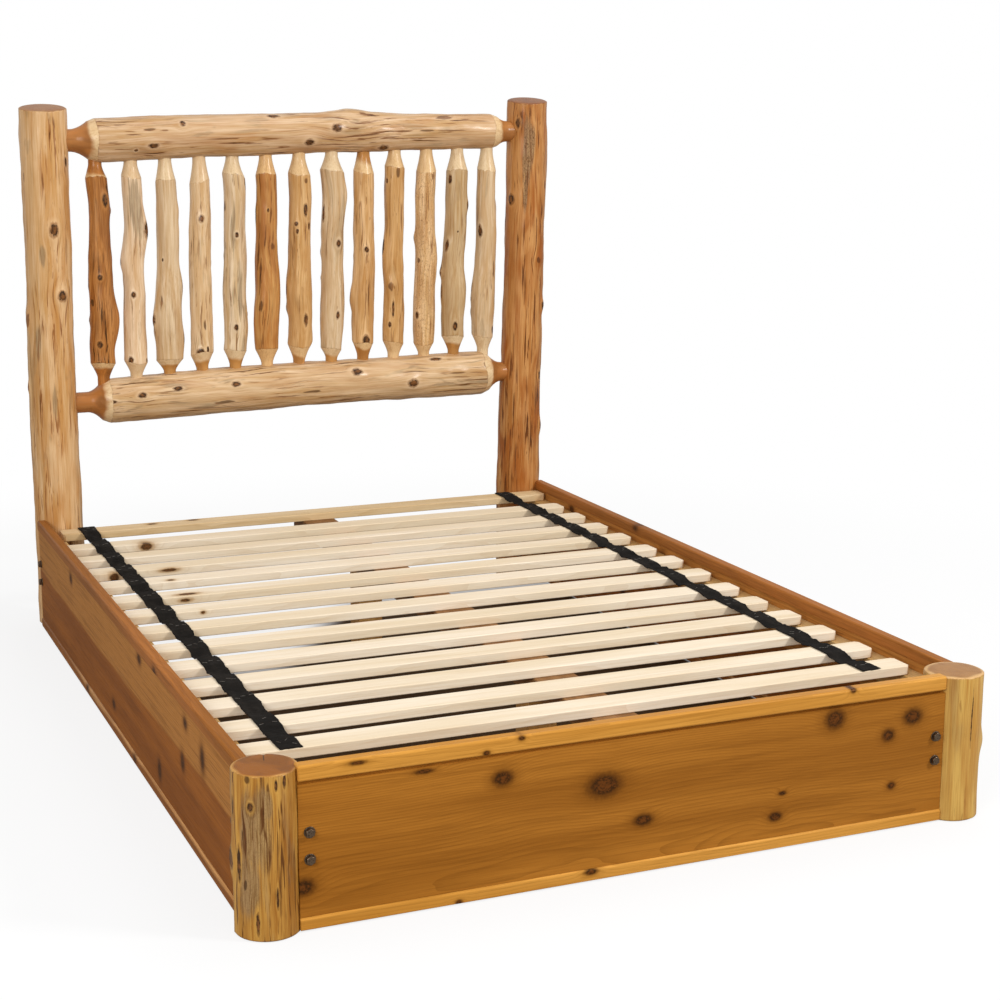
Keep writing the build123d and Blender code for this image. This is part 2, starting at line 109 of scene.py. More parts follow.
class Finish:
    """A material under construction, with the few kinds of node that the bed's finishes use."""

    def __init__(self, name):
        self.material = bpy.data.materials.new(name)
        self.material.use_nodes = True
        self.tree = self.material.node_tree
        self.shader = self.tree.nodes["Principled BSDF"]
        self.output = self.tree.nodes["Material Output"]

    def put(self, socket, value):
        """Links a wire to a socket, or gives the socket a number, a vector or a colour's digits."""
        if isinstance(value, Wire):
            self.tree.links.new(value.socket, socket)
        else:
            socket.default_value = colour(value) if isinstance(value, str) else value

    def node(self, kind, values=(), output=0, **settings):
        """Any node: its settings are set first, then the values or links of its sockets."""
        node = self.tree.nodes.new(kind)
        for name, value in settings.items():
            setattr(node, name, value)
        pairs = values.items() if isinstance(values, dict) else enumerate(values)
        for key, value in pairs:
            self.put(node.inputs[key], value)
        return Wire(self, node.outputs[output])

    def attribute(self, name):
        return self.node("ShaderNodeAttribute", output=1, attribute_name=name)

    def place(self):
        return self.node("ShaderNodeTexCoord", output=3)

    def parts(self, vector):
        node = self.node("ShaderNodeSeparateXYZ", (vector,))
        return [Wire(self, socket) for socket in node.socket.node.outputs]

    def vector(self, x, y, z):
        return self.node("ShaderNodeCombineXYZ", (x, y, z))

    def stretch(self, vector, x, y, z):
        return self.node("ShaderNodeVectorMath", (vector, (x, y, z)), operation="MULTIPLY")

    def shift(self, vector, offset):
        return self.node("ShaderNodeVectorMath", (vector, offset), operation="ADD")

    def length(self, vector):
        return self.node("ShaderNodeVectorMath", (vector,), output=1, operation="LENGTH")

    def noise(self, vector, detail=2.0, roughness=0.5, distortion=0.0):
        values = {
            "Vector": vector, "Scale": 1.0, "Detail": detail, "Roughness": roughness,
            "Distortion": distortion,
        }
        return self.node("ShaderNodeTexNoise", values)

    def band(self, value, low, high):
        """0 below low, 1 above high, and smooth between."""
        values = {"Value": value, "From Min": low, "From Max": high}
        return self.node("ShaderNodeMapRange", values, interpolation_type="SMOOTHSTEP")

    def mix(self, share, under, over):
        return self.node("ShaderNodeMix", {0: share, 6: under, 7: over}, output=2, data_type="RGBA")

    def bump(self, height, strength, distance):
        values = {"Height": height, "Strength": strength, "Distance": distance}
        return self.node("ShaderNodeBump", values)

    def shade(self, **sockets):
        """Sets the shader's own sockets, named with _ for a space, and gives the material."""
        for name, value in sockets.items():
            self.put(self.shader.inputs[name.replace("_", " ")], value)
        return self.material


def colour(code):
    """The linear colour of six hexadecimal digits."""
    shades = [int(code[index : index + 2], 16) / 255 for index in (0, 2, 4)]
    return tuple(s / 12.92 if s <= 0.04045 else ((s + 0.055) / 1.055) ** 2.4 for s in shades) + (1.0,)


# ---- log finishes -------------------------------------------------------------------------
KNOT_DARK = "351e0e"
KNOT_MID = "7e4e26"
GREY_DARK = "5f4a34"
GREY_LIGHT = "9a8464"
# painted shade in a check's crack across a log's end face
CHECK = "2c1a0e"
KNOT_TONE = 0.75    # fainter marks than this are strokes of the drawknife, not knots


def log_finish(
    name, girth, marks, hearts, warmth, streaks, grey, pale="e8cca6", tan="d8b486",
    warm="c4945c", streak="946234", dark="54321a", sap="e0c299", heart="c08848", speckle=0.0,
    coarse=1.0, pits=0.0, ragged=1.0,
):
    """Peeled and lacquered log. The mesh gives the straightened log's own coordinates, with and
    without the grain's bend round the knots, how far a point is inside the peeled skin, its grey
    patches, its end faces and its check. marks are the knots' middles, half sizes and tones in
    those coordinates; hearts is the heartwood's share of the girth at the low end and the high;
    warmth, streaks, grey and speckle are shares of those colours. A coarse below 1 widens the
    streaks, pits darkens the grey patches with small dots, and ragged is how far the edge of the
    skin wanders."""
    f = Finish(name)
    spot = f.attribute("spot")
    across, aside, _ = f.parts(spot)
    cut, stained, end_face = f.parts(f.attribute("cut"))
    check_off, check_out, height_share = f.parts(f.attribute("check"))
    knot_far, stroke_far = 9.0, 9.0
    for middle, (wide, tall), tone in marks:
        scale = (1 / wide, 1 / wide, 1 / tall)
        moved = tuple(-m * k for m, k in zip(middle, scale))
        offset = f.node("ShaderNodeVectorMath", (spot, scale, moved), operation="MULTIPLY_ADD")
        if tone >= KNOT_TONE:
            knot_far = f.length(offset).math("MINIMUM", knot_far)
        else:
            stroke_far = (f.length(offset) + (KNOT_TONE - tone)).math("MINIMUM", stroke_far)
    fine_grain = f.attribute("grain")
    grain = f.stretch(fine_grain, coarse, coarse, coarse)

    hair = f.noise(f.stretch(fine_grain, 460, 460, 10), 3.0, 0.65)
    ribbon = f.noise(f.stretch(grain, 90, 90, 4), 3.0, 0.6, 0.5)
    patch = f.noise(f.stretch(grain, 28, 28, 5), 2.0, 0.5, 0.7)
    strand = f.noise(f.stretch(f.shift(grain, (1.3, 4.2, 2.6)), 140, 140, 8), 3.0, 0.6, 0.4)
    nick = f.noise(f.stretch(f.shift(grain, (5.9, 2.2, 8.1)), 230, 230, 22), 2.0, 0.6, 0.5)
    stain = f.noise(f.stretch(f.shift(grain, (3.1, 1.7, 0.4)), 36, 36, 7), 3.0, 0.6, 0.5)
    region = f.noise(f.stretch(f.shift(grain, (7.7, 0.2, 5.1)), 16, 16, 3.5), 1.0)

    skin = f.mix(f.band(ribbon, 0.37, 0.62), tan, pale)
    skin = f.mix(f.band(patch, 0.42, 0.68) * min(1.0, warmth + 0.15), skin, warm)
    skin = f.mix((1 - f.band(region, 0.36, 0.5)) * 0.35, skin, pale)
    skin = f.mix(f.band(hair, 0.46, 0.66) * 0.5, skin, warm)
    skin = f.mix((1 - f.band(hair, 0.3, 0.46)) * 0.4, skin, pale)
    mottle = f.mix(f.band(hair + nick * 0.4, 0.6, 0.85), GREY_LIGHT, GREY_DARK)
    weathered = f.band(stain, 0.57, 0.68) * grey
    patched = f.band(stained + strand * 1.1 + hair * 0.6 - 0.85, 0.3, 0.7)
    skin = f.mix(weathered.math("MAXIMUM", patched * 0.62), skin, mottle)
    if pits:
        dots = f.noise(f.stretch(spot, 430, 430, 210), 3.0, 0.7, 1.0)
        skin = f.mix(f.band(dots, 0.5, 0.62) * patched * pits, skin, dark)
    runs = f.band(region, 0.64 - 0.34 * streaks, 0.74 - 0.24 * streaks)
    thin = f.band(strand, 0.56, 0.63) * runs
    skin = f.mix(thin * min(1.0, 0.4 + streaks * 0.55), skin, streak)
    thick = f.band(strand + hair * 0.1, 0.705, 0.75) * runs
    skin = f.mix(thick * 0.85, skin, dark)
    flecks = f.band(nick, 0.66, 0.72) * f.band(region, 0.35, 0.6)
    skin = f.mix(flecks * 0.75, skin, streak)
    if speckle:
        specks = f.noise(f.stretch(grain, 330, 330, 170), 3.0, 0.7, 1.5)
        skin = f.mix(f.band(specks, 0.55, 0.6) * speckle, skin, streak)

    rough_edge = f.noise(f.stretch(spot, 260, 260, 150), 2.0) - 0.5
    lobes = f.noise(f.stretch(spot, 120, 120, 70), 2.0) - 0.5
    stroke = f.band(stroke_far + strand * 2.4 + nick * 1.2 - 1.8, 0.75, 1.15)
    skin = f.mix((1 - stroke) * 0.8, skin, f.mix(f.band(nick, 0.4, 0.6), dark, streak))
    far = knot_far + rough_edge * 0.5 + lobes * 0.8
    halo = 1 - f.band(far, 1.0, 2.3)
    core = 1 - f.band(far, 0.72, 1.0)
    brim = f.band(far, 0.72, 0.95) * (1 - f.band(far, 1.0, 1.35))
    skin = f.mix(halo * 0.55, skin, pale)
    skin = f.mix(brim * 0.6, skin, streak)
    heartwood = f.mix(f.band(rough_edge + lobes * 1.4 - far * 0.38, -0.42, 0.12), KNOT_DARK, KNOT_MID)
    skin = f.mix(core, skin, heartwood)

    spread = f.length(f.vector(across, aside, 0.0)) / girth
    wobble = f.noise(f.stretch(grain, 30, 30, 6), 1.0) - 0.5
    share = hearts[0] + height_share * (hearts[1] - hearts[0])
    hearted = 1 - f.band(spread + wobble * 0.3 - share, -0.07, 0.07)
    inside = f.mix(hearted, sap, heart)
    growth = ((spread + wobble * 0.1) * girth * 2200.0).math("SINE")
    inside = f.mix(f.band(growth, 0.3, 1.0) * end_face * 0.5, inside, streak)
    inside = f.mix(f.band(hair, 0.46, 0.7) * 0.35, inside, warm)
    inside = f.mix(f.band(patch, 0.4, 0.62) * hearted * 0.45, inside, streak)
    inside = f.mix(f.band(ribbon, 0.5, 0.66) * 0.3, inside, warm)
    # painted shade down the check across the end face; the mesh has only a notch in the rim there
    slit_shade = (1 - f.band(check_off.math("ABSOLUTE"), 0.0004, 0.0015)) * f.band(check_out, 0.012, 0.024)
    inside = f.mix(slit_shade, inside, CHECK)

    edge = cut + (rough_edge * 0.005 + lobes * 0.004) * ragged
    peeled = f.band(edge, -0.0007, 0.0007)
    whole = f.mix(peeled, inside, skin)
    line = (1 - f.band(edge.math("ABSOLUTE"), 0.0, 0.002)) * f.band(strand, 0.35, 0.6) * 0.5
    whole = f.mix(line, whole, streak)
    height = hair * 0.4 + ribbon * 0.5 + peeled * 0.4 - core * 0.5 + brim * 0.4
    height = height - thick * 0.4 - flecks * 0.3
    return f.shade(
        Base_Color=whole,
        Roughness=0.38 + hair * 0.25 + core * 0.12,
        Specular_IOR_Level=0.3,
        Specular_Tint="ffdca8",
        Coat_Weight=0.35,
        Coat_Roughness=0.22,
        Normal=f.bump(height, 0.45, 0.0018),
    )


# ---- board finishes -----------------------------------------------------------------------
def board_finish(
    name, along, light, dark, late, pith, period, knots, contrast, fleck, gloss, drift=0.03,
    upper=None, brim="4a2609",
):
    """Sawn board: growth rings cut by the board, fibres along it, and knots that the rings flow
    round. along is the board's axis, 0, 1 or 2; light and dark are the body's colours and late
    the latewood's; pith is the tree's middle, from the frame's origin, in the other two axes;
    period is the growth rings' spacing; a knot is its place, half sizes and depth of colour.
    contrast is the share of latewood, fleck of fibres, gloss the least roughness and drift how
    far the rings wander. upper is the height and the colour of a paler band along the top: a
    paler board on the side panels, and painted highlight along the rounded top edge on the side
    trims. brim is the wood's colour close round a knot."""
    f = Finish(name)
    place = f.place()
    axes = f.parts(place)
    run = axes.pop(along)
    depth, rise = axes
    wave = f.noise(f.vector(run * 1.6, depth * 5, rise * 5), 2.0, 0.45) - 0.5
    ripple = f.noise(f.vector(run * 9, depth * 26, rise * 26), 2.0) - 0.5
    off_depth = depth - pith[0]
    off_rise = rise - pith[1]
    ring = (off_depth * off_depth + off_rise * off_rise).math("SQRT") + wave * drift + ripple * 0.0035
    nearest = None
    for where, size, weight in knots:
        scale = tuple(0.0 if half == 0 else 1 / half for half in size)
        far = f.length(f.stretch(f.shift(place, tuple(-w for w in where)), *scale))
        pull = (far * far * -0.16).math("EXPONENT") * (0.012 * weight)
        ring = ring + pull
        far = far + (1 - weight) * 0.5
        nearest = far if nearest is None else nearest.math("MINIMUM", far)
    growth = (ring / period).math("FRACT")
    latewood = growth**3.0
    fine = f.noise(f.vector(run * 12, depth * 620, rise * 620), 3.0, 0.65)
    pores = f.noise(f.vector(run * 45, depth * 900, rise * 900), 2.0, 0.6)
    broad = f.noise(f.vector(run * 1.3, depth * 18, rise * 18), 2.0)
    body = f.mix(f.band(broad, 0.35, 0.68), dark, light)
    if upper:
        # paler band along the top: a paler board on the side panels, painted highlight on the side
        # trims' rounded top edge
        edge, paler = upper
        paler_band_and_highlight = f.band(rise + wave * 0.05, edge - 0.004, edge + 0.006) * 0.85
        body = f.mix(paler_band_and_highlight, body, paler)
    body = f.mix(latewood * contrast, body, late)
    body = f.mix(f.band(fine, 0.45, 0.75) * fleck, body, late)
    body = f.mix((1 - f.band(fine, 0.3, 0.48)) * fleck * 0.6, body, light)
    body = f.mix(f.band(pores, 0.64, 0.74) * fleck, body, late)
    lines = f.noise(f.vector(run * 4, depth * 170, rise * 170), 3.0, 0.6, 0.3)
    body = f.mix(f.band(lines, 0.5, 0.64) * fleck * 0.9, body, late)
    height = fine * 0.4 + latewood * 0.4
    rough = gloss + fine * 0.18
    if nearest is not None:
        edge = f.noise(f.stretch(place, 160, 160, 160), 2.0) - 0.5
        nearest = nearest + edge * 0.5
        halo = 1 - f.band(nearest, 0.9, 3.0)
        core = 1 - f.band(nearest, 0.7, 1.1)
        body = f.mix(halo * 0.5, body, late)
        body = f.mix((1 - f.band(nearest, 0.85, 1.8)) * 0.75, body, brim)
        blots = f.noise(f.stretch(place, 260, 260, 260), 2.0)
        middle = f.mix(f.band(blots - nearest * 0.35, 0.14, 0.5), "2e190a", "643613")
        body = f.mix(core * 0.92, body, middle)
        height = height - core * 0.35
    return f.shade(
        Base_Color=body,
        Roughness=rough,
        Specular_IOR_Level=0.3,
        Specular_Tint="ffcf8c",
        Normal=f.bump(height, 0.22, 0.001),
    )


# ---- pieces -------------------------------------------------------------------------------
def finished(name, bm, material, nodes):
    """The mesh as a piece of the bed, which stands for its CAD nodes and rides on the one body."""
    mesh = bpy.data.meshes.new(name)
    bm.to_mesh(mesh)
    bm.free()
    mesh.materials.append(material)
    piece = bpy.data.objects.new(name, mesh)
    bpy.context.scene.collection.objects.link(piece)
    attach(piece, "root")
    if nodes:
        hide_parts(*nodes)
    return piece


def steady(points):
    """A smooth line through (place, value) points, level beyond the first and the last."""

    def value(place):
        if place <= points[0][0]:
            return points[0][1]
        for index in range(len(points) - 1):
            (start, low), (stop, high) = points[index : index + 2]
            if place > stop:
                continue
            before = points[max(index - 1, 0)]
            after = points[min(index + 2, len(points) - 1)]
            slope_in = (high - before[1]) / (stop - before[0])
            slope_out = (after[1] - low) / (after[0] - start)
            span = stop - start
            t = (place - start) / span
            return (
                low * (2 * t**3 - 3 * t**2 + 1)
                + high * (3 * t**2 - 2 * t**3)
                + slope_in * span * (t**3 - 2 * t**2 + t)
                + slope_out * span * (t**3 - t**2)
            )
        return points[-1][1]

    return value


class Knot:
    """A knot on a log, from its row: where it is along and around the log, its sizes, how far it
    stands up and its tone. A stroke or a grey patch is placed the same way."""

    def __init__(self, place, angle, width, height, lift=2.0, tone=1.0):
        self.place = place * MM
        self.angle = math.radians(angle)
        self.width = width * MM / 2
        self.height = height * MM / 2
        self.lift = lift * MM
        self.tone = tone

    def offsets(self, place, angle, girth):
        """How far a point is from the knot, along and around, in the knot's half sizes."""
        around = (angle - self.angle + math.pi) % TURN - math.pi
        return (place - self.place) / self.height, around * girth / self.width

    def mark(self, girth):
        """Its middle, half sizes and tone, in the straightened log."""
        radius = girth(self.place)
        middle = (radius * math.cos(self.angle), radius * math.sin(self.angle), self.place)
        return middle, (self.width, self.height), self.tone


def even(start, stop, pitch):
    """Places from start to stop, about a pitch apart."""
    count = max(1, round(abs(stop - start) / pitch))
    return [start + (stop - start) * step / count for step in range(count + 1)]


def stretches(edges, pitches):
    """Places from the first edge to the last, with a pitch of its own between each two."""
    places = []
    for start, stop, pitch in zip(edges, edges[1:], pitches):
        places = places[:-1] + even(start, stop, pitch)
    return places


def inside_frame(point):
    """The point, no further out than the CAD model reaches."""
    return Vector(min(max(value, low), high) for value, low, high in zip(point, CAD_LOW, CAD_HIGH))


FACE_RINGS = (0.0, 0.3, 0.6, 0.8, 0.9, 0.96)    # on an end face, as shares of its girth
FLAT_SHARE = 0.6       # of a flat's full depth that the drawknife takes
REGROWTH = 0.012       # lumps fade in over this depth of cut
CUT_REACH = 0.03       # the cut attribute goes no further than this from the skin's edge
FACE_DEPTH = -0.01     # and is this on the end faces, which are all inside the skin
KNOT_REACH = 6         # in half sizes of the knot
CHECK_HALF, CHECK_DEEP, CHECK_LONG = 0.005, 0.006, 0.06
LEAN_LONG = 0.07       # the sloping top bends the log down to this far below it
LEAN_TO = Vector((0.164, 0.986, 0))    # the high side of a head post's sloping top


def log(
    name, places, girth, axis, side, shave, knots, looks, seed, segments, flats, lumps,
    crown=0.0, stains=(), check=None, lean=0.0, sway=0.0, calm=1.0,
):
    """A log: rings at the places along it and stepped end faces, spun round, then bent to its
    axis, with the flats that the drawknife leaves, its lumps and its knots. shave(place) is the
    girth that the tenon cutter, flare or easing leaves there and how steeply it opens, so the
    edge of the peeled skin wanders with the log's own lumps. At angle 0 a log faces the foot of
    the bed; side is the direction at 90 degrees. knots and stains, which are grey patches, are
    rows. crown is how far the last face is domed, and check is the angle of a crack in the top.
    lean is how steeply the top is sawn, sway how far a cut wanders along the log as it goes
    round, and calm the share of the lumps that is left where the log is cut."""
    knots = [Knot(*row) for row in knots]
    stains = [Knot(*row) for row in stains]
    bm = bmesh.new()
    layers = bm.verts.layers.float_vector
    grain_layer, spot_layer = layers.new("grain"), layers.new("spot")
    cut_layer, check_layer = layers.new("cut"), layers.new("check")
    profile = [(places[0], share) for share in FACE_RINGS] + [(place, 1.0) for place in places]
    profile += [(places[-1] + crown * (1 - share**7), share) for share in reversed(FACE_RINGS)]
    chain = [bm.verts.new((girth(place) * share, 0.0, place)) for place, share in profile]
    edges = [bm.edges.new(pair) for pair in zip(chain, chain[1:])]
    bmesh.ops.spin(bm, geom=chain + edges, axis=(0, 0, 1), angle=TURN, steps=segments, use_merge=True)
    bmesh.ops.remove_doubles(bm, verts=bm.verts, dist=1e-6)
    drift = random.Random(seed)
    home = Vector((drift.uniform(0, 40), drift.uniform(0, 40), drift.uniform(0, 40)))
    facing = Vector((0, -1, 0))
    for vert in bm.verts:
        place = vert.co.z
        round_girth = girth(place)
        share = math.hypot(vert.co.x, vert.co.y) / round_girth
        angle = math.atan2(vert.co.y, vert.co.x)
        ring = Vector((math.cos(angle), math.sin(angle), 0))
        wander = noise.noise(home + Vector((0, 0, place * 3.0))) * 0.9
        sector = (angle + wander) * flats / TURN % 1.0 - 0.5
        flat = math.cos(math.pi / flats) / math.cos(sector * TURN / flats) - 1
        limit, slope = shave(place + sway * math.cos(angle - home.x))
        room = min(1.0, max(0.0, (limit - round_girth) / REGROWTH))
        rough = noise.noise(home + ring * 1.3 + Vector((0, 0, place * 9))) * lumps
        rough += noise.noise(home + ring * 3.1 + Vector((0, 0, place * 30))) * lumps * 0.35
        swell = (flat * round_girth * FLAT_SHARE + rough * MM) * (calm + (1 - calm) * room)
        turn = 0.0
        for knot in knots:
            up, around = knot.offsets(place, angle, round_girth)
            far = math.hypot(up, around)
            if far > KNOT_REACH:
                continue
            swell += knot.lift * 1.25 * math.exp(-(far * far) / 3.2)
            turn -= around * knot.width / round_girth * 0.6 * math.exp(-(far * far) / 7)
        stained = 0.0
        for patch in stains:
            up, around = patch.offsets(place, angle, round_girth)
            stained = max(stained, math.exp(-(up * up + around * around) * 0.7))
        full = round_girth + swell
        on_face = share < 0.999
        depth = min(CUT_REACH, max(-CUT_REACH, (limit - full) / slope))
        if on_face:
            depth = FACE_DEPTH
        if check is not None:
            off = (angle - math.radians(check) + math.pi) % TURN - math.pi
            opened = CHECK_DEEP * max(0.0, 1 - abs(off) * round_girth / CHECK_HALF)
            limit = min(limit, full) - opened * max(0.0, 1 - (places[-1] - place) / CHECK_LONG)
        grown = min(full, limit) * share
        outward = (facing * ring.x + side * ring.y) * grown
        sloped = lean * outward.dot(LEAN_TO) * max(0.0, 1 - (places[-1] - place) / LEAN_LONG) ** 1.5
        vert.co = inside_frame(axis(place) + outward + Vector((0, 0, sloped)))
        bent = angle + turn
        radius = min(round_girth, limit) * share
        vert[grain_layer] = (radius * math.cos(bent), radius * math.sin(bent), place + seed * 1.7)
        vert[spot_layer] = (radius * ring.x, radius * ring.y, place)
        vert[cut_layer] = (depth, stained, float(on_face))
        off, out = 1.0, 0.0
        if check is not None and on_face:
            toward = angle - math.radians(check)
            off, out = grown * math.sin(toward), grown * math.cos(toward)
        vert[check_layer] = (off, out, (place - places[0]) / (places[-1] - places[0]))
    bmesh.ops.recalc_face_normals(bm, faces=bm.faces)
    for face in bm.faces:
        face.smooth = True
    marks = [knot.mark(girth) for knot in knots if knot.tone > 0.3]
    material = log_finish(f"{name}_wood", girth(places[0]), marks, **looks)
    finished(name, bm, material, [name])


def hidden_knots(seed, count, low, high, girth):
    """Rows of small knots on the side of a log that faces away from the bed's foot."""
    drift = random.Random(seed)
    found = []
    for _ in range(count):
        size = drift.uniform(0.22, 0.42) * girth
        place = drift.uniform(low, high)
        angle = drift.uniform(95, 265)
        tall = size * drift.uniform(1.1, 1.9)
        found.append((place, angle, size, tall, drift.uniform(1, 4), drift.uniform(0.6, 1)))
    return found


def upright(centre, y):
    """The axis of an upright log whose middle is centre(place) across the bed."""
    return lambda place: Vector((centre(place), y, place))


# ---- head posts ---------------------------------------------------------------------------
def upright_places(height, crown):
    """Places up an upright log, closer together at its rims."""
    rim = height - crown
    rims = (rim - 0.0045, rim - 0.003, rim - 0.0018, rim - 0.0008, rim)
    return [0.0, 0.001, 0.0025, 0.005, *even(0.0085, rim - 0.008, 0.0062), *rims]


RIM_WIDE = 0.007       # how far from its rims the rasp works on an upright log
RIM_CLEAR, RIM_DEEP = 0.004, 0.008
UNCUT = 0.03           # the cut's clearance over a log that isn't cut


def rim_easing(height, crown, girth):
    """How far the rasp takes the rims of an upright log in."""

    def shave(place):
        short = max(0.0, min(place, height - crown - place))
        if short >= RIM_WIDE:
            return girth(place) + UNCUT, 1.0
        taken = 1 - short / RIM_WIDE
        return girth(place) + RIM_CLEAR - RIM_DEEP * taken * taken, 1.0

    return shave


HEAD_CROWN = 0.002
HEAD_LEAN = 0.165


def head_post(name, height, points, knots, stains, looks, seed):
    """A head post: points are rows of height, middle and girth up it."""
    centre = steady([(z * MM, x * MM) for z, x, _ in points])
    girth = steady([(z * MM, r * MM) for z, _, r in points])

    places = upright_places(height, HEAD_CROWN)
    shave = rim_easing(height, HEAD_CROWN, girth)
    log(
        name, places, girth, upright(centre, HEAD_Y), ACROSS, shave, knots, looks, seed,
        segments=64, flats=13, lumps=2.8, crown=HEAD_CROWN, stains=stains, lean=HEAD_LEAN,
    )


head_post(
    "head_post_left",
    1.348,
    (
        (0, -662, 62.0), (384, -662, 62.6), (491, -662, 62), (729, -661, 60), (885, -658, 59),
        (1190, -656, 60), (1356, -655, 59.5),
    ),
    [
        (1042, 6, 22, 34, 3.0), (873, 22, 22, 28, 3.5), (808, -76, 20, 40, 6.0, 0.7),
        (1210, 51, 9, 25, 1.0), (634, -86, 10, 24, 4.5, 0.6), (1173, -70, 6, 25, 1.0, 0.6),
        *hidden_knots(11, 7, 250, 1280, 60),
    ],
    [(979, -23, 17, 56), (756, -43, 16, 80), (600, -6, 12, 90)],
    dict(
        pale="e0b98a", tan="ca9a60", warm="bc803e", streak="8c5222", dark="5c3414", sap="dcb684",
        heart="a06c3c", warmth=0.5, streaks=0.75, grey=0.3, hearts=(0.94, 0.94),
    ),
    1,
)
head_post(
    "head_post_right",
    1.3715,
    (
        (0, 665, 62.5), (283, 666, 63), (402, 668, 61), (520, 671, 59.5), (752, 677, 58),
        (838, 680, 57), (1008, 684, 57), (1190, 688, 58), (1380, 690.5, 56),
    ),
    [
        (1308, -50, 14, 26, 2.0), (1097, -68, 21, 28, 3.0), (797, 47, 13, 24, 5.0, 0.9),
        (926, 24, 18, 20, 1.5, 0.5), (597, 39, 12, 22, 4.0, 0.9), (450, 50, 12, 28, 5.0, 0.9),
        (1140, 43, 8, 35, 1.0, 0.6),
        *hidden_knots(12, 7, 250, 1280, 58),
    ],
    [(1232, -22, 26, 210), (1255, -8, 18, 110), (1125, -24, 13, 120)],
    dict(
        pale="cc9458", tan="b07236", warm="9c5418", streak="6a340a", dark="3e1c08", sap="c89458",
        heart="8e5628", warmth=0.8, streaks=1.0, grey=0.12, hearts=(0.94, 0.94), pits=0.9,
    ),
    2,
)

# ---- headboard rails ----------------------------------------------------------------------
POST_FOOT = 662.0       # from the bed's middle line to a head post's foot
UPPER_RAIL = 1271.0     # middle heights
LOWER_RAIL = 593.0
RAIL_RISE = 0.0196
RAIL_BOW = 9.0
SHOULDER_RING = 0.86    # girth of the flare where the pale shoulder starts, as a share
SHOULDER_WIDE = 0.02
TENON_PITCH = 0.008     # rings along a log's tenons, cuts and peeled middle
FLARE_PITCH = 0.0035
RAIL_PITCH = 0.0062
RAIL_MARGIN = 0.012     # rings stay close this far past a shoulder


def rail_height(middle, x):
    """Height of a rail's axis, in millimetres."""
    share = x / POST_FOOT
    return middle + RAIL_RISE * x + RAIL_BOW * (1 - share * share)


def rail(name, middle, tips, shoulders, flares, tenon, points, knots, looks, seed):
    """A rail: tenon, hollow flare, pale shoulder, peeled log, shoulder, flare and tenon."""
    girth = steady([(x * MM, r * MM) for x, r in points])
    low, high = (t * MM for t in tips)
    left, right = (s * MM for s in shoulders)
    tenon = tenon * MM

    def shave(place):
        inside, end, flare = (place - left, left, flares[0] * MM)
        if right - place < inside:
            inside, end, flare = (right - place, right, flares[1] * MM)
        ring = girth(end) * SHOULDER_RING
        slope = (girth(end) - ring) / SHOULDER_WIDE
        if inside > -SHOULDER_WIDE:
            return girth(end) + inside * slope, slope
        share = max(0.0, (inside + flare) / (flare - SHOULDER_WIDE))
        return tenon + (ring - tenon) * share**1.9, slope

    edges = (
        low, left - flares[0] * MM, left + RAIL_MARGIN, right - RAIL_MARGIN,
        right + flares[1] * MM, high,
    )
    places = stretches(edges, (TENON_PITCH, FLARE_PITCH, RAIL_PITCH, FLARE_PITCH, TENON_PITCH))

    def axis(place):
        x = min(max(place, left), right) / MM
        return Vector((place, HEAD_Y, rail_height(middle, x) * MM))

    log(
        name, places, girth, axis, Vector((0, 0, 1)), shave, knots, looks, seed,
        segments=60, flats=14, lumps=3.0, calm=0.35,
    )


rail(
    "head_upper_rail",
    UPPER_RAIL,
    (-677.0, 710.0), (-525.0, 573.5), (66.0, 50.0),
    28.5,
    (
        (-533, 56), (-493, 57), (-299, 55), (-31, 55), (100, 54), (250, 52), (336, 49.5), (516, 49),
        (576, 48),
    ),
    [
        (-305, 39, 16, 14, 2.5), (-430, -30, 8, 10, 1.0), (-385, -19, 13, 26, 1.2),
        (-393, 23, 8, 34, 0.3, 0.7), (-355, 20, 8, 36, 0.3, 0.6), (-59, 57, 14, 34, 2.5),
        (111, 14, 20, 28, 3.0), (34, -24, 18, 26, 3.0), (248, -50, 18, 28, 2.5),
        (160, 80, 50, 60, 9.0, 0.25), (428, 49, 14, 46, 1.0, 0.7), (370, 3, 7, 48, 0.3, 0.5),
        (157, -72, 12, 46, 0.5, 0.4),
        *hidden_knots(21, 7, -480, 520, 54),
    ],
    dict(
        pale="dab994", tan="c09868", warm="ae7640", streak="784824", dark="4c2e18", heart="b2743c",
        sap="e2c294", warmth=0.35, streaks=0.9, grey=0.35, hearts=(0.87, 0.64), ragged=0.35,
    ),
    3,
)
rail(
    "head_lower_rail",
    LOWER_RAIL,
    (-680.0, 697.0), (-516.0, 545.0), (58.0, 66.0),
    27.0,
    ((-516, 58), (-493, 59), (-299, 61), (-31, 61), (336, 61), (516, 62), (579, 60)),
    [
        (-439, 15, 14, 22, 2.5), (-343, 24, 13, 24, 2.0), (-185, 22, 14, 24, 2.5),
        (-224, -22, 12, 60, 0.5, 0.6), (-516, 5, 8, 17, 0.3), (-77, 34, 17, 47, 1.0, 0.2),
        (158, 30, 21, 29, 3.0), (321, -9, 22, 28, 3.0), (396, 54, 12, 35, 1.0),
        (545, 28, 15, 18, 2.0), (457, 11, 7, 70, 0.3, 0.6), (25, -13, 10, 60, 0.3, 0.35),
        *hidden_knots(22, 7, -480, 520, 58),
    ],
    dict(
        pale="debf98", tan="c6a070", warm="b07c48", streak="784c26", dark="4e321a", heart="ae6e36",
        sap="e4c69a", warmth=0.35, streaks=0.85, grey=0.5, hearts=(0.87, 0.87), ragged=0.35,
    ),
    4,
)

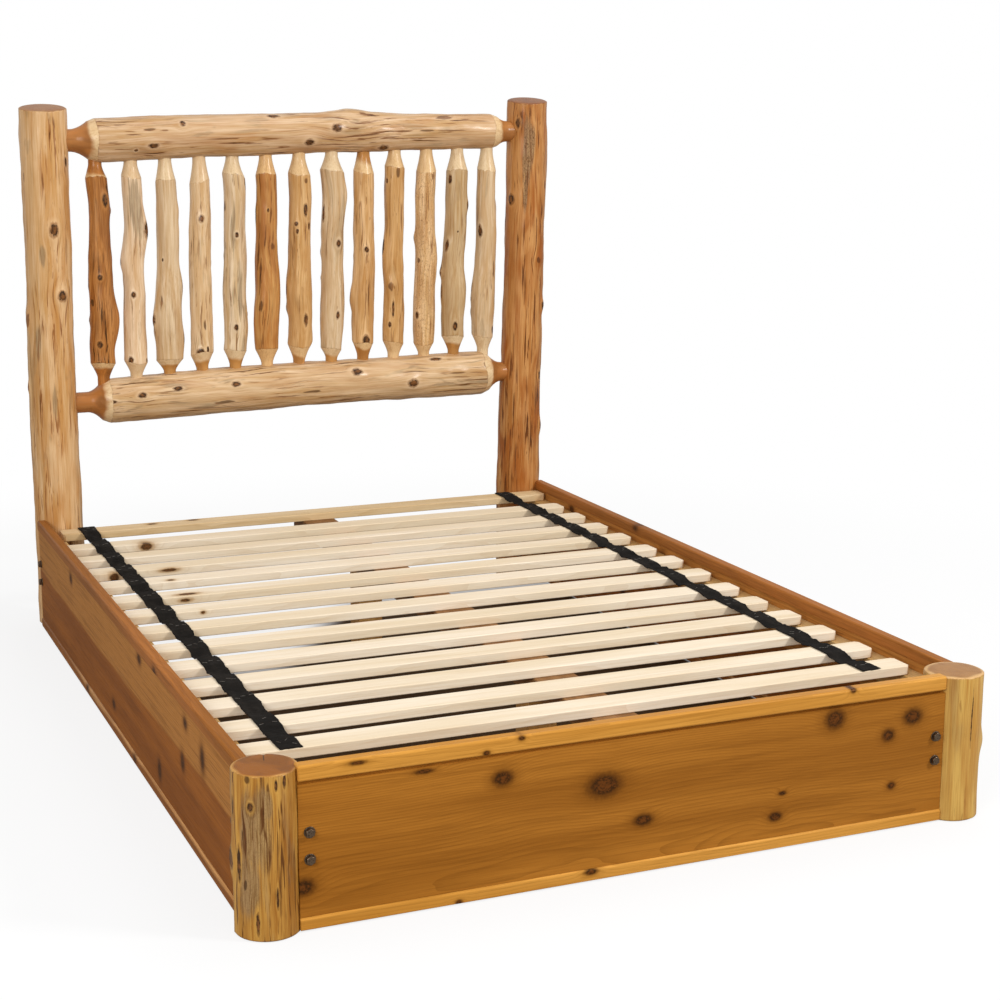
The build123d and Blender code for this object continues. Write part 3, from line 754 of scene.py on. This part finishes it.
# ---- spindles -----------------------------------------------------------------------------
CREAM = dict(warmth=0.3, streaks=0.5, grey=0.25)
OAT = dict(
    pale="dec4a0", tan="cba87c", warm="b68a56", streak="875a30", sap="e4c9a0", warmth=0.3,
    streaks=0.55, grey=0.3,
)
AMBER = dict(
    pale="cf9c5c", tan="ba7c3e", warm="a0602a", streak="643410", dark="40200c", sap="e2b880",
    heart="c07c3c", warmth=0.6, streaks=0.75, grey=0.1,
)
UMBER = dict(
    pale="c6884a", tan="9c5e26", warm="70380e", streak="402006", dark="2a1406", sap="e2bc88",
    heart="b87434", warmth=0.7, streaks=1.0, grey=0.15,
)
HONEY = dict(
    pale="dcb27c", tan="c6965c", warm="b07838", streak="7e4a1e", sap="e2be8c", heart="c88c4a",
    warmth=0.45, streaks=0.6, grey=0.15,
)

# each spindle: its looks, its heartwood's share and its cones' heights, low and high; its middle's
# place at even heights from the upper cone down, and its girth at the same heights but the
# first; its knots and, on some, its grey patches
SPINDLES = (
    (
        UMBER, (0.75, 0.75), (44, 40),
        (-528, -522, -524, -524, -525, -521, -528), (28, 27, 31, 32, 36, 33),
        [(1113, 25, 15, 32, 2.5), (915, -15, 13, 14, 1.5), (740, -24, 14, 17, 1.5),
         (795, 60, 30, 60, 4.0, 0.3), (690, -30, 9, 9, 0.5), (850, -60, 13, 20, 2, 0.6)],
    ),
    (
        dict(CREAM, pale="f0d6b4", tan="e2c09a", grey=0.15), (0, 0), (40, 40),
        (-436, -434, -432, -440, -438, -441, -441), (26, 28, 30, 28, 29, 31),
        [(1034, 58, 20, 44, 6.5, 0.8), (867, -16, 12, 17, 1.5), (951, -85, 10, 26, 3.0, 0.6),
         (695, -34, 14, 18, 1.5), (693, 52, 8, 13, 1.5)],
        [(1095, 0, 34, 150), (1060, 20, 16, 100)],
    ),
    (
        OAT, (0.72, 0), (34, 58),
        (-346, -344, -344, -347, -349, -352, -351), (27, 29, 29, 34, 38, 35),
        [(1186, 3, 7, 10, 0.5), (955, -40, 5, 8, 0.5), (844, -39, 8, 36, 0.5, 0.7),
         (798, -78, 18, 34, 5.0, 0.8), (888, 72, 14, 46, 5.0, 0.5), (741, 78, 14, 60, 4.5, 0.4),
         (683, -70, 8, 8, 0.5), (1085, 75, 10, 30, 3.5, 0.3)],
    ),
    (
        CREAM, (0.75, 0.3), (44, 64),
        (-255, -255, -257, -260, -260, -262, -262), (27, 30, 30, 30, 30, 31),
        [(1172, -3, 12, 30, 1, 0.35), (1061, -8, 15, 20, 2.5), (780, 5, 11, 40, 0.3, 0.4),
         (707, -20, 20, 22, 2.5, 0.9), (712, 16, 7, 22, 1.0), (1085, 85, 12, 40, 2.5, 0.3)],
    ),
    (
        dict(OAT, pale="e6ceac", tan="d4b488", grey=0.5, streaks=0.65), (0.75, 0), (46, 48),
        (-165, -160, -164, -164, -168, -167, -171), (29, 29, 31, 32, 32, 31),
        [(1199, 16, 5, 11, 0.5), (1016, -2, 10, 14, 2.0), (1150, 62, 12, 40, 2.5),
         (770, -12, 12, 17, 2.0), (695, -2, 7, 8, 0.5), (1091, -80, 10, 27, 2.5, 0.7)],
        [(1029, -22, 14, 130), (870, 12, 14, 150)],
    ),
    (
        AMBER, (0, 0.3), (42, 52),
        (-74, -73, -75, -77, -76, -81, -82), (28, 29, 32, 35, 35, 31),
        [(984, 17, 14, 25, 2.0, 0.6), (825, -43, 20, 46, 3.5, 0.35), (1079, -8, 6, 10, 0.5),
         (1066, -92, 10, 42, 3, 0.8)],
    ),
    (
        dict(HONEY, heart="d09858"), (0.66, 0.4), (48, 52),
        (19, 20, 17, 15, 12, 14, 8), (30, 31, 32, 36, 34, 31),
        [(1078, 13, 12, 34, 2.5), (1042, -34, 11, 12, 1.2), (1022, -28, 8, 13, 1.0),
         (1035, 39, 10, 20, 1.5), (783, 12, 12, 32, 1.5), (724, 85, 16, 34, 5.5, 0.5),
         (864, -80, 10, 40, 3, 0.5), (1156, 21, 11, 17, 0.5, 0.7)],
    ),
    (
        OAT, (0.7, 0), (32, 50),
        (111, 116, 111, 109, 108, 104, 101), (33, 31, 30, 33, 33, 29),
        [(1185, -15, 12, 26, 1, 0.35), (1067, -72, 12, 42, 3, 0.8), (987, 14, 13, 20, 2.0),
         (791, 12, 11, 22, 1.5), (1113, 70, 16, 40, 4.5, 0.2)],
    ),
    (
        dict(HONEY, pale="e8c08e", tan="d2a46c", streaks=0.5), (0.85, 0.7), (46, 54),
        (202, 201, 201, 202, 196, 194, 193), (28, 29, 30, 32, 31, 29),
        [(968, -7, 12, 15, 1.5), (719, 1, 19, 28, 2.0, 0.8), (838, -95, 12, 36, 5.0, 0.5),
         (1087, -13, 10, 46, 0.3, 0.3)],
    ),
    (
        HONEY, (0, 0), (40, 46),
        (292, 290, 290, 285, 286, 285, 283), (28, 28, 30, 28, 31, 29),
        [(1177, 1, 9, 30, 0.5, 0.7), (865, -30, 20, 28, 4.0, 0.55), (803, -22, 7, 50, 0.5),
         (974, -85, 12, 46, 3.5, 0.8), (759, -39, 9, 14, 0.5), (1153, -65, 8, 14, 0.5)],
    ),
    (
        dict(HONEY, pale="f0cc9c", tan="deb47c", speckle=0.7), (0, 0), (34, 58),
        (385, 381, 381, 383, 378, 375, 374), (28, 29, 32, 31, 31, 28),
        [(933, -60, 12, 14, 1.5, 0.6), (781, -56, 12, 20, 2.0), (1164, 23, 11, 20, 0.5, 0.6),
         (684, 8, 7, 9, 0.3)],
    ),
    (
        dict(OAT, pale="ccb088", tan="b89464", warm="a47640", grey=0.25), (0.8, 0), (46, 62),
        (477, 474, 471, 464, 466, 462, 464), (31, 31, 31, 36, 33, 31),
        [(1155, -57, 12, 26, 1.5), (1083, 60, 13, 26, 4.0), (972, -59, 14, 30, 2.5),
         (747, -9, 13, 24, 2.0), (1011, -8, 4, 6, 0.3), (839, -85, 10, 50, 3.0, 0.5)],
    ),
    (
        OAT, (0, 0), (46, 58),
        (566, 563, 565, 562, 557, 553, 554), (27, 29, 30, 34, 33, 28),
        [(1190, -41, 10, 14, 0.5, 0.6), (1011, -57, 14, 35, 1.5), (902, 30, 8, 46, 0.5, 0.5),
         (730, 50, 11, 22, 1.5), (1075, 85, 10, 35, 3.0, 0.5), (853, -90, 10, 35, 3.0, 0.7)],
    ),
)
TOP_HEIGHT, TOP_STEP = 1189, 0.92      # the first girth's height, from spindle to spindle
SPAN_HEIGHT, SPAN_STEP = 77.5, 0.58    # and the spacing of the heights
NECK_LOW = 0.0158
NECK_HIGH = 0.0172
TENON_DEPTH = 0.036
NECK_LONG = 0.006
CONE_HOLLOW = 1.3
CONE_PITCH = 0.0034
SPINDLE_PITCH = 0.006
CONE_MARGIN = 0.022     # rings stay close this far past a cone
LOWER_GIRTH = steady([(-0.516, 0.058), (-0.3, 0.061), (0.34, 0.061), (0.579, 0.063)])
UPPER_GIRTH = steady([(-0.533, 0.056), (-0.03, 0.055), (0.34, 0.0495), (0.576, 0.048)])


def spindle(number, looks, hearts, cones, middles, girths, knots, stains=()):
    """A spindle: peeled log with a cone and a round tenon cut at each end."""
    top = TOP_HEIGHT - TOP_STEP * number
    pitch = SPAN_HEIGHT + SPAN_STEP * number
    heights = [(top - pitch * step) * MM for step in range(7)]
    centre = steady([(z, x * MM) for z, x in zip(reversed(heights), reversed(middles))])
    body = steady([(z, r * MM) for z, r in zip(reversed(heights[1:]), reversed(girths))])
    x = middles[3] * MM
    floor = rail_height(LOWER_RAIL, x / MM) * MM + LOWER_GIRTH(x)
    roof = rail_height(UPPER_RAIL, x / MM) * MM - UPPER_GIRTH(x)
    low, high = floor + NECK_LONG, roof - NECK_LONG
    cone_low, cone_high = (cone * MM - NECK_LONG for cone in cones)

    def shave(place):
        out, cone, neck = place - low, cone_low, NECK_LOW
        opening = body(low + cone) - neck
        if high - place < out:
            out, cone, neck = high - place, cone_high, NECK_HIGH
            opening = body(high - cone) - neck
        return neck + opening * (max(0.0, out) / cone) ** CONE_HOLLOW, opening / cone

    edges = (
        floor - TENON_DEPTH, low, low + cone_low + CONE_MARGIN, high - cone_high - CONE_MARGIN,
        high, roof + TENON_DEPTH,
    )
    places = stretches(edges, (TENON_PITCH, CONE_PITCH, SPINDLE_PITCH, CONE_PITCH, TENON_PITCH))

    name = f"spindle_{number + 1:02d}"
    knots = knots + hidden_knots(40 + number, 4, 760, 1130, 30)
    looks = dict(looks, hearts=hearts)
    axis = upright(centre, HEAD_Y)
    log(
        name, places, body, axis, ACROSS, shave, knots, looks, 30 + number, segments=36,
        flats=9, lumps=2.8, stains=stains, sway=0.005, calm=0.45,
    )


for number, row in enumerate(SPINDLES):
    spindle(number, *row)

# ---- foot posts ---------------------------------------------------------------------------
FOOT_POST_HEIGHT = 0.290
FOOT_CROWN = 0.001


def foot_post(name, x, looks, knots, stains, seed, check=None):
    """A short post at a foot corner, with a crack in its top where check gives its angle."""
    girth = steady([(0.0, 0.0575), (0.1, 0.0567), (0.2, 0.0572), (0.29, 0.0568)])
    places = upright_places(FOOT_POST_HEIGHT, FOOT_CROWN)
    shave = rim_easing(FOOT_POST_HEIGHT, FOOT_CROWN, girth)
    axis = upright(lambda place: x, FOOT_Y)
    log(
        name, places, girth, axis, ACROSS, shave, knots, looks, seed, segments=96,
        flats=15, lumps=1.8, crown=FOOT_CROWN, stains=stains, check=check,
    )


foot_post(
    "foot_post_left",
    -FOOT_SPREAD,
    dict(
        pale="ce9c4a", tan="ac762c", warm="905616", streak="5c320e", dark="341a06", sap="c8944a",
        heart="94540c", warmth=0.5, streaks=1.0, grey=0.3, hearts=(0.92, 0.92), coarse=0.7, pits=0.25,
    ),
    [
        (236, -41, 10, 16, 1.5), (131, -68, 8, 60, 0.3, 0.85), (183, -58, 8, 32, 0.2, 0.6),
        (227, -84, 6, 39, 0.2, 0.8), (33, -32, 6, 38, 0.2, 0.9), (282, -47, 12, 19, 0.2, 0.6),
        (272, 3, 5, 18, 0.1, 0.8), (277, 18, 6, 24, 0.1, 0.8), (74, 2, 4, 36, 0.1, 0.8),
        (186, 15, 3, 39, 0.1, 0.6), (99, -54, 10, 20, 0.1, 0.5),
        *hidden_knots(51, 4, 60, 240, 50),
    ],
    [(190, -36, 54, 150), (100, -46, 46, 120), (239, -15, 24, 60)],
    51,
    166,
)
foot_post(
    "foot_post_right",
    FOOT_SPREAD,
    dict(
        pale="d9b05e", tan="c28e40", warm="ac7634", streak="855522", dark="523214", sap="d8ac72",
        heart="a87842", warmth=0.4, streaks=0.25, grey=0.2, hearts=(0.86, 0.86), coarse=0.7,
    ),
    [
        (205, 5, 3, 110, 0.0, 0.9), (150, 64, 16, 26, 4.0, 0.5),
        *hidden_knots(52, 4, 60, 240, 50),
    ],
    [(190, -75, 18, 120)],
    52,
)


# ---- boards -------------------------------------------------------------------------------
EASED = 0.0015          # how far the edges of the boards, trims and slats are rounded over
TRIM_EASED = 0.0012
CAP_EASED = 0.0035
SLAT_EASED = 0.0018
GROOVE_HEIGHT, GROOVE_DEEP = 0.259, 0.005
STEP_RISE = 0.0004      # height of the step into the groove
SHARP = 1.2             # radians: an edge that turns further than this is rounded over


def eased_board(node, width, material, segments=2, groove=None):
    """A CAD board copied with its sharp edges rounded over. groove is the height from which its
    front is set back, which leaves a shadow line under the cap that stands on it."""
    bm = bmesh.new()
    bm.from_mesh(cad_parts[node].data)
    bmesh.ops.remove_doubles(bm, verts=bm.verts, dist=1e-6)
    bmesh.ops.dissolve_limit(bm, angle_limit=0.01, verts=bm.verts, edges=bm.edges)
    if groove:
        for height in (groove, groove + STEP_RISE):
            geometry = bm.verts[:] + bm.edges[:] + bm.faces[:]
            bmesh.ops.bisect_plane(bm, geom=geometry, plane_co=(0, 0, height), plane_no=(0, 0, 1))
        front = min(vert.co.y for vert in bm.verts)
        for vert in bm.verts:
            if vert.co.z > groove + STEP_RISE / 2 and vert.co.y < front + 0.0001:
                vert.co.y += GROOVE_DEEP
    sharp = [edge for edge in bm.edges if edge.is_manifold and edge.calc_face_angle(0.0) > SHARP]
    bmesh.ops.bevel(
        bm, geom=sharp, offset=width, segments=segments, profile=0.5, affect="EDGES", material=-1,
        clamp_overlap=True,
    )
    for face in bm.faces:
        face.smooth = max(abs(part) for part in face.normal) < 0.999
    finished(f"{node}_board", bm, material, [node])


def front_knots(rows):
    """Knots on the foot board and its trims: each row is x, z, half sizes and depth of colour."""
    return [((x, 0, z), (wide, 0, tall), weight) for x, z, wide, tall, weight in rows]


FOOT_KNOTS = front_knots([
    (-0.276, 0.219, 0.016, 0.0117, 1.0), (-0.081, 0.178, 0.027, 0.0182, 1.0),
    (-0.002, 0.101, 0.016, 0.0091, 1.0), (-0.421, 0.252, 0.016, 0.0039, 0.8),
    (-0.636, 0.079, 0.017, 0.013, 0.9), (0.396, 0.238, 0.017, 0.0156, 1.0),
    (0.570, 0.221, 0.017, 0.013, 1.0), (0.516, 0.191, 0.012, 0.0104, 0.9),
    (0.273, 0.065, 0.012, 0.0078, 0.9), (0.287, 0.109, 0.007, 0.0039, 0.8),
    (0.528, 0.089, 0.008, 0.0065, 0.8),
])
TRIM_KNOTS = front_knots([
    (-0.106, 0.020, 0.012, 0.005, 0.9), (-0.359, 0.006, 0.006, 0.004, 0.8),
    (-0.308, 0.270, 0.006, 0.004, 0.8), (-0.242, 0.288, 0.006, 0.004, 0.7),
    (0.432, 0.291, 0.006, 0.005, 0.8), (-0.540, 0.285, 0.016, 0.004, 0.5),
])
SIDE_FACE = 0.713       # from the bed's middle line to a side board's outside
# each row: which side board, 1 or -1, then the knot's place along the bed and up it
SIDE_KNOTS = [
    ((SIDE_FACE * hand, y, z), (0.02, wide, tall), weight)
    for hand, y, z, wide, tall, weight in (
        (1, 0.192, 0.232, 0.014, 0.014, 0.9), (1, -0.050, 0.211, 0.014, 0.018, 0.9),
        (1, 0.412, 0.098, 0.014, 0.014, 0.8), (1, 0.734, 0.250, 0.014, 0.010, 0.9),
        (-1, 0.530, 0.238, 0.014, 0.011, 0.8), (-1, 0.056, 0.068, 0.014, 0.010, 0.8),
        (-1, -0.387, 0.065, 0.013, 0.019, 0.9), (-1, -0.589, 0.150, 0.013, 0.016, 0.9),
        (-1, -0.745, 0.207, 0.014, 0.022, 0.8), (-1, -0.229, 0.250, 0.014, 0.010, 0.9),
        (-1, -0.620, 0.236, 0.013, 0.010, 0.8),
    )
]
SIDE_CAP_KNOTS = [
    ((SIDE_FACE * hand, y, z), (0.02, 0.014, 0.008), 0.8)
    for hand, y, z in (
        (-1, -0.382, 0.268), (1, 0.341, 0.280), (-1, 0.353, 0.016), (-1, -0.161, 0.014),
    )
]
SLAT_KNOTS = [
    ((-0.433, 0.940, 0.263), (0.012, 0.007, 0.02), 1.0),
    ((-0.320, 0.947, 0.263), (0.014, 0.007, 0.02), 1.0),
    ((-0.497, 0.718, 0.256), (0.016, 0.030, 0.010), 1.0),
    ((-0.502, 0.447, 0.258), (0.022, 0.010, 0.005), 0.8),
    ((-0.525, 0.331, 0.263), (0.010, 0.008, 0.02), 0.7),
    ((-0.520, 0.191, 0.263), (0.026, 0.010, 0.02), 0.8),
    ((-0.529, 0.176, 0.254), (0.016, 0.010, 0.005), 0.8),
    ((-0.634, 0.447, 0.252), (0.012, 0.020, 0.012), 1.0),
    ((-0.521, 0.041, 0.258), (0.006, 0.010, 0.004), 0.6),
]
FOOT_PANEL = board_finish(
    "foot_panel", 0, "b07228", "9a601e", "74430f", (-1.16, 0.03), 0.0046, FOOT_KNOTS,
    contrast=0.4, fleck=0.3, gloss=0.42, drift=0.07,
)
FOOT_TRIM = board_finish(
    "foot_trim", 0, "da9c46", "c48634", "9a6420", (-1.2, 0.4), 0.006, TRIM_KNOTS,
    contrast=0.35, fleck=0.35, gloss=0.34, drift=0.04,
)
SIDE_PANEL = board_finish(
    "side_panel", 1, "a05e20", "8a4e1a", "68380e", (-1.0, -0.6), 0.005, SIDE_KNOTS,
    contrast=0.32, fleck=0.4, gloss=0.5, upper=(0.160, "be8240"),
)
SIDE_CAP = board_finish(
    "side_cap", 1, "ac6a30", "945a22", "6c3c12", (-1.0, -0.7), 0.005, SIDE_CAP_KNOTS,
    contrast=0.35, fleck=0.4, gloss=0.45,
)
LEDGER_ALONG, BEAM_WOOD, BLOCK_WOOD = (
    board_finish(
        name, along, light, dark, late, (-0.9, 0.4), 0.005, (), contrast=0.35, fleck=0.3,
        gloss=0.55,
    )
    for name, along, light, dark, late in (
        ("ledger_pine", 1, "d6b078", "c0965c", "9a6e3a"),
        ("beam_pine", 1, "9a7048", "7c5430", "5c3a1c"),
        ("block_pine", 2, "cfa064", "b98a50", "946634"),
    )
)
SLAT_WOOD = board_finish(
    "slat_pine", 0, "f4e6d0", "e8d6b8", "ceb088", (-2.2, 0.1), 0.004, SLAT_KNOTS,
    contrast=0.25, fleck=0.25, gloss=0.5, brim="a57c4c",
)
HEAD_SLAT_WOOD = board_finish(
    "slat_pine_warm", 0, "e6cca4", "d6b88a", "b8925e", (-2.2, 0.1), 0.004, SLAT_KNOTS,
    contrast=0.3, fleck=0.3, gloss=0.5, brim="a57c4c",
)
# the side trims' paler band along their top is painted highlight on the rounded top edge
SIDE_TRIM_HIGHLIT = board_finish(
    "side_trim_highlit", 1, "a8662c", "905622", "683a12", (-1.0, -0.7), 0.005, SIDE_CAP_KNOTS,
    contrast=0.35, fleck=0.4, gloss=0.4, upper=(0.0205, "d29c62"),
)

eased_board("foot_panel", EASED, FOOT_PANEL, groove=GROOVE_HEIGHT)
eased_board("foot_cap", CAP_EASED, FOOT_TRIM, 3)
eased_board("foot_base_trim", TRIM_EASED, FOOT_TRIM)
for hand in ("left", "right"):
    eased_board(f"side_panel_{hand}", EASED, SIDE_PANEL)
    eased_board(f"side_cap_{hand}", TRIM_EASED, SIDE_CAP)
    eased_board(f"side_base_trim_{hand}", TRIM_EASED, SIDE_TRIM_HIGHLIT)
    eased_board(f"slat_ledger_{hand}", EASED, LEDGER_ALONG)
    for block in ("side_foot_block", "side_head_block", "foot_block"):
        eased_board(f"{block}_{hand}", EASED, BLOCK_WOOD)
eased_board("centre_beam", EASED, BEAM_WOOD)
for number in (1, 2):
    eased_board(f"beam_leg_{number}", EASED, BLOCK_WOOD)
SLATS = [f"slat_{number:02d}" for number in range(1, 15)]    # from the head of the bed
for slat in SLATS:
    eased_board(slat, SLAT_EASED, HEAD_SLAT_WOOD if slat == SLATS[0] else SLAT_WOOD)


# ---- straps -------------------------------------------------------------------------------
def webbing_finish():
    f = Finish("black_webbing")
    place = f.place()
    x, y, _ = f.parts(place)
    ribs = (y * 3400.0).math("SINE")
    cords = (x * 4200.0).math("SINE")
    fuzz = f.noise(f.stretch(place, 900, 900, 900), 2.0)
    wear = f.noise(f.stretch(place, 40, 12, 40), 3.0, 0.6)
    shade = f.mix(f.band(wear, 0.4, 0.75), "14110e", "211d19")
    shade = f.mix(f.band(fuzz + ribs * 0.15, 0.66, 0.82) * 0.25, shade, "3c3732")
    return f.shade(
        Base_Color=shade,
        Roughness=0.75 + fuzz * 0.2,
        Specular_IOR_Level=0.12,
        Normal=f.bump(ribs * 0.5 + cords * 0.35 + fuzz * 0.3, 0.5, 0.0008),
    )


WEBBING = webbing_finish()
SLAT_EDGES = sorted((low.y, high.y) for low, high in map(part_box, SLATS))
STRAP_WIDE = 0.0445
STRAP_THICK = 0.0013
STRAP_LIFT = 0.0012     # of the webbing's middle over the slats, where it is stapled down


def strap(hand):
    """Webbing laid over the slats: flat where it is stapled down, slack and puckered between."""
    node = f"strap_{hand}"
    low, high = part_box(node)
    drift = random.Random(61 if hand == "left" else 62)
    middle = (low.x + high.x) / 2
    length = high.y - low.y
    spans = []
    for (_, start), (stop, _) in zip(SLAT_EDGES, SLAT_EDGES[1:]):
        deep, skew, phase = drift.uniform(0.003, 0.009), drift.uniform(-1, 1), drift.uniform(0, 9)
        spans.append((start, stop, deep, skew, phase))
    bm = bmesh.new()
    bmesh.ops.create_grid(bm, x_segments=10, y_segments=620, size=0.5)
    for vert in bm.verts:
        across = vert.co.x * 2
        y = low.y + (vert.co.y + 0.5) * length
        slack, sag, lean, tune = 0.0, 0.0, 0.0, 0.0
        for start, stop, deep, skew, phase in spans:
            if start < y < stop:
                slack = math.sin(math.pi * (y - start) / (stop - start))
                sag, lean, tune = deep, skew, phase
        pucker = noise.noise(Vector((y * 62, middle * 7, across * 0.4 + tune)))
        teeth = 1 - abs(noise.noise(Vector((y * 44, middle * 11 + round(across), 3.0)))) * 2.2
        bias = y * 30 + across * lean * 0.8
        fold = noise.noise(Vector((across * 0.9 + middle * 9, bias, 0.3 + tune)))
        crease = noise.noise(Vector((across * 2.2, y * 120, 4.0 + middle)))
        flare = across * across * max(0.0, noise.noise(Vector((y * 34, round(across), 8.0 + middle))))
        rise = STRAP_LIFT + 0.0009 * fold + 0.0006 * crease
        loose = -sag * slack + slack**0.6 * (0.005 * fold + 0.0015 * crease + 0.006 * flare)
        half = STRAP_WIDE / 2 * (0.95 + 0.035 * teeth + 0.02 * pucker - 0.04 * slack)
        fray = 0.0
        if abs(vert.co.y) > 0.497:
            fray = noise.noise(Vector((across * 9, middle * 50, 7.0))) * 0.003
        x = middle + across * half + lean * 0.002 * slack + 0.0012 * pucker
        vert.co = (x, y + fray, low.z + max(0.0003, rise) + loose)
    bmesh.ops.solidify(bm, geom=bm.faces[:], thickness=-STRAP_THICK)
    bmesh.ops.recalc_face_normals(bm, faces=bm.faces)
    for face in bm.faces:
        face.smooth = True
    piece = finished(f"webbing_{hand}", bm, WEBBING, [node])


for hand in ("left", "right"):
    strap(hand)


# ---- staples, lag bolts and washers -------------------------------------------------------
def steel_finish(name, code, rough):
    f = Finish(name)
    grime = f.noise(f.stretch(f.place(), 380, 380, 380), 3.0, 0.6)
    shade = f.mix(f.band(grime, 0.45, 0.75), code, "2a211a")
    return f.shade(Base_Color=shade, Metallic=1.0, Roughness=rough + grime * 0.25)


BOLT_STEEL = steel_finish("bronzed_steel", "7a6a5a", 0.3)
STAPLE_STEEL = steel_finish("staple_wire", "827e78", 0.35)
STAPLE_SIZE = Matrix.Diagonal((0.0095, 0.0011, 0.0009, 1))
STAPLE_LIFT = 0.0029    # over the slats
STAPLE_SHARES = (0.24, 0.52, 0.8)    # of the webbing's width


def staples(hand):
    """Staples across the webbing on every slat, driven a little askew."""
    low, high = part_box(f"strap_{hand}")
    drift = random.Random(71 if hand == "left" else 72)
    bm = bmesh.new()
    for near_edge, far_edge in SLAT_EDGES:
        for share in STAPLE_SHARES:
            x = low.x + (high.x - low.x) * (share + drift.uniform(-0.06, 0.06))
            y = (near_edge + far_edge) / 2 + drift.uniform(-0.02, 0.02)
            turn = Matrix.Rotation(drift.uniform(-0.9, 0.9), 4, "Z")
            spot = Matrix.Translation((x, y, low.z + STAPLE_LIFT))
            bmesh.ops.create_cube(bm, size=1.0, matrix=spot @ turn @ STAPLE_SIZE)
    bmesh.ops.bevel(
        bm, geom=bm.edges[:], offset=0.0002, segments=1, profile=0.5, affect="EDGES", material=-1
    )
    finished(f"staples_{hand}", bm, STAPLE_STEEL, ())


for hand in ("left", "right"):
    staples(hand)


# the lag bolts and washers are CAD solids too, copied with their rims eased
for node, width in (("lag_bolts", 0.0007), ("washers", 0.0004)):
    eased_board(node, width, BOLT_STEEL)


# ---- floor, light and camera --------------------------------------------------------------
def floor():
    """A pale floor that keeps the bed's shadow, with painted shadow under the bed: a dark brown patch
    that only the camera sees, through the slats.
    """
    bm = bmesh.new()
    bmesh.ops.create_circle(bm, cap_ends=True, segments=64, radius=14.0)
    mesh = bpy.data.meshes.new("floor")
    bm.to_mesh(mesh)
    bm.free()
    ground = bpy.data.objects.new("floor", mesh)
    bpy.context.scene.collection.objects.link(ground)
    f = Finish("studio_floor")
    seen = f.node("ShaderNodeLightPath", output=0)
    lit = f.node("ShaderNodeEmission", {"Color": (1, 1, 1, 1), "Strength": 1.0})
    place = f.place()
    x, y, _ = f.parts(place)
    reach = f.length(place)
    # painted shadow under the bed: inside the side boards, from the foot to an edge that slants from
    # 0.3 m on the left to 0.8 m on the right
    edge = 0.3 + 0.5 * f.band(x, -0.3, 0.15)
    under = (1 - f.band(x.math("ABSOLUTE"), 0.7, 0.725)) * f.band(y, -1.06, -1.0)
    under = under * (1 - f.band(y - edge, 0.0, 0.22))
    # the painted shadow is dark brown 4c3824 for the camera, while light that bounces off the floor
    # sees grey a09a92 all over
    base = f.mix(under, "f0f0f0", "4c3824")
    f.shade(Base_Color=f.mix(seen, "a09a92", base), Roughness=0.9, Specular_IOR_Level=0.1)
    # no white glow where the shadow is painted
    share = seen * (0.8 + 0.2 * f.band(reach, 1.4, 3.0)) * (1 - under)
    both = f.node("ShaderNodeMixShader", (share, Wire(f, f.shader.outputs[0]), lit))
    f.tree.links.new(both.socket, f.output.inputs[0])
    mesh.materials.append(f.material)


# each lamp: its name, place, target, size and power
LAMPS = (
    ("left", (-3.4, -3.6, 2.6), (0, 0.4, 0.5), 2.2, 118),
    ("right", (3.4, -3.6, 3.4), (0, 0, 0.4), 0.9, 146),
    ("top", (1.2, 0.2, 4.2), (0, 0, 0.3), 2.0, 28),
)
SKY = 0.6
CAMERA_PLACE = (-1.46699, -3.84389, 1.34825)
YAW, PITCH, ROLL = (math.radians(angle) for angle in (23.10, 11.95, 0.17))
LENS, SENSOR = 66.66, 36.0


def lamp(name, place, target, size, power):
    light = bpy.data.lights.new(name, "AREA")
    light.size = size
    light.energy = power
    holder = bpy.data.objects.new(name, light)
    bpy.context.scene.collection.objects.link(holder)
    holder.location = place
    holder.rotation_mode = "QUATERNION"
    holder.rotation_quaternion = (Vector(target) - Vector(place)).to_track_quat("-Z", "Y")


def studio():
    """Soft light all round, three lamps, and white wherever the camera sees past the floor."""
    world = bpy.data.worlds.new("studio")
    bpy.context.scene.world = world
    world.use_nodes = True
    tree = world.node_tree
    soft = tree.nodes["Background"]
    soft.inputs["Color"].default_value = (1, 1, 1, 1)
    soft.inputs["Strength"].default_value = SKY
    white = tree.nodes.new("ShaderNodeBackground")
    white.inputs["Color"].default_value = (1, 1, 1, 1)
    path = tree.nodes.new("ShaderNodeLightPath")
    blend = tree.nodes.new("ShaderNodeMixShader")
    tree.links.new(path.outputs["Is Camera Ray"], blend.inputs[0])
    tree.links.new(soft.outputs[0], blend.inputs[1])
    tree.links.new(white.outputs[0], blend.inputs[2])
    tree.links.new(blend.outputs[0], tree.nodes["World Output"].inputs[0])
    for row in LAMPS:
        lamp(*row)


def camera():
    data = bpy.data.cameras.new("camera")
    data.sensor_width = SENSOR
    data.lens = LENS
    data.clip_end = 100
    holder = bpy.data.objects.new("camera", data)
    bpy.context.scene.collection.objects.link(holder)
    level = math.cos(PITCH)
    ahead = Vector((math.sin(YAW) * level, math.cos(YAW) * level, -math.sin(PITCH)))
    right = ahead.cross(Vector((0, 0, 1))).normalized()
    up = right.cross(ahead)
    tilted_right = right * math.cos(ROLL) + up * math.sin(ROLL)
    tilted_up = up * math.cos(ROLL) - right * math.sin(ROLL)
    turn = Matrix((tilted_right, tilted_up, -ahead)).transposed()
    holder.matrix_world = Matrix.Translation(CAMERA_PLACE) @ turn.to_4x4()
    bpy.context.scene.camera = holder


floor()
studio()
camera()
bpy.context.scene.view_settings.view_transform = "Standard"
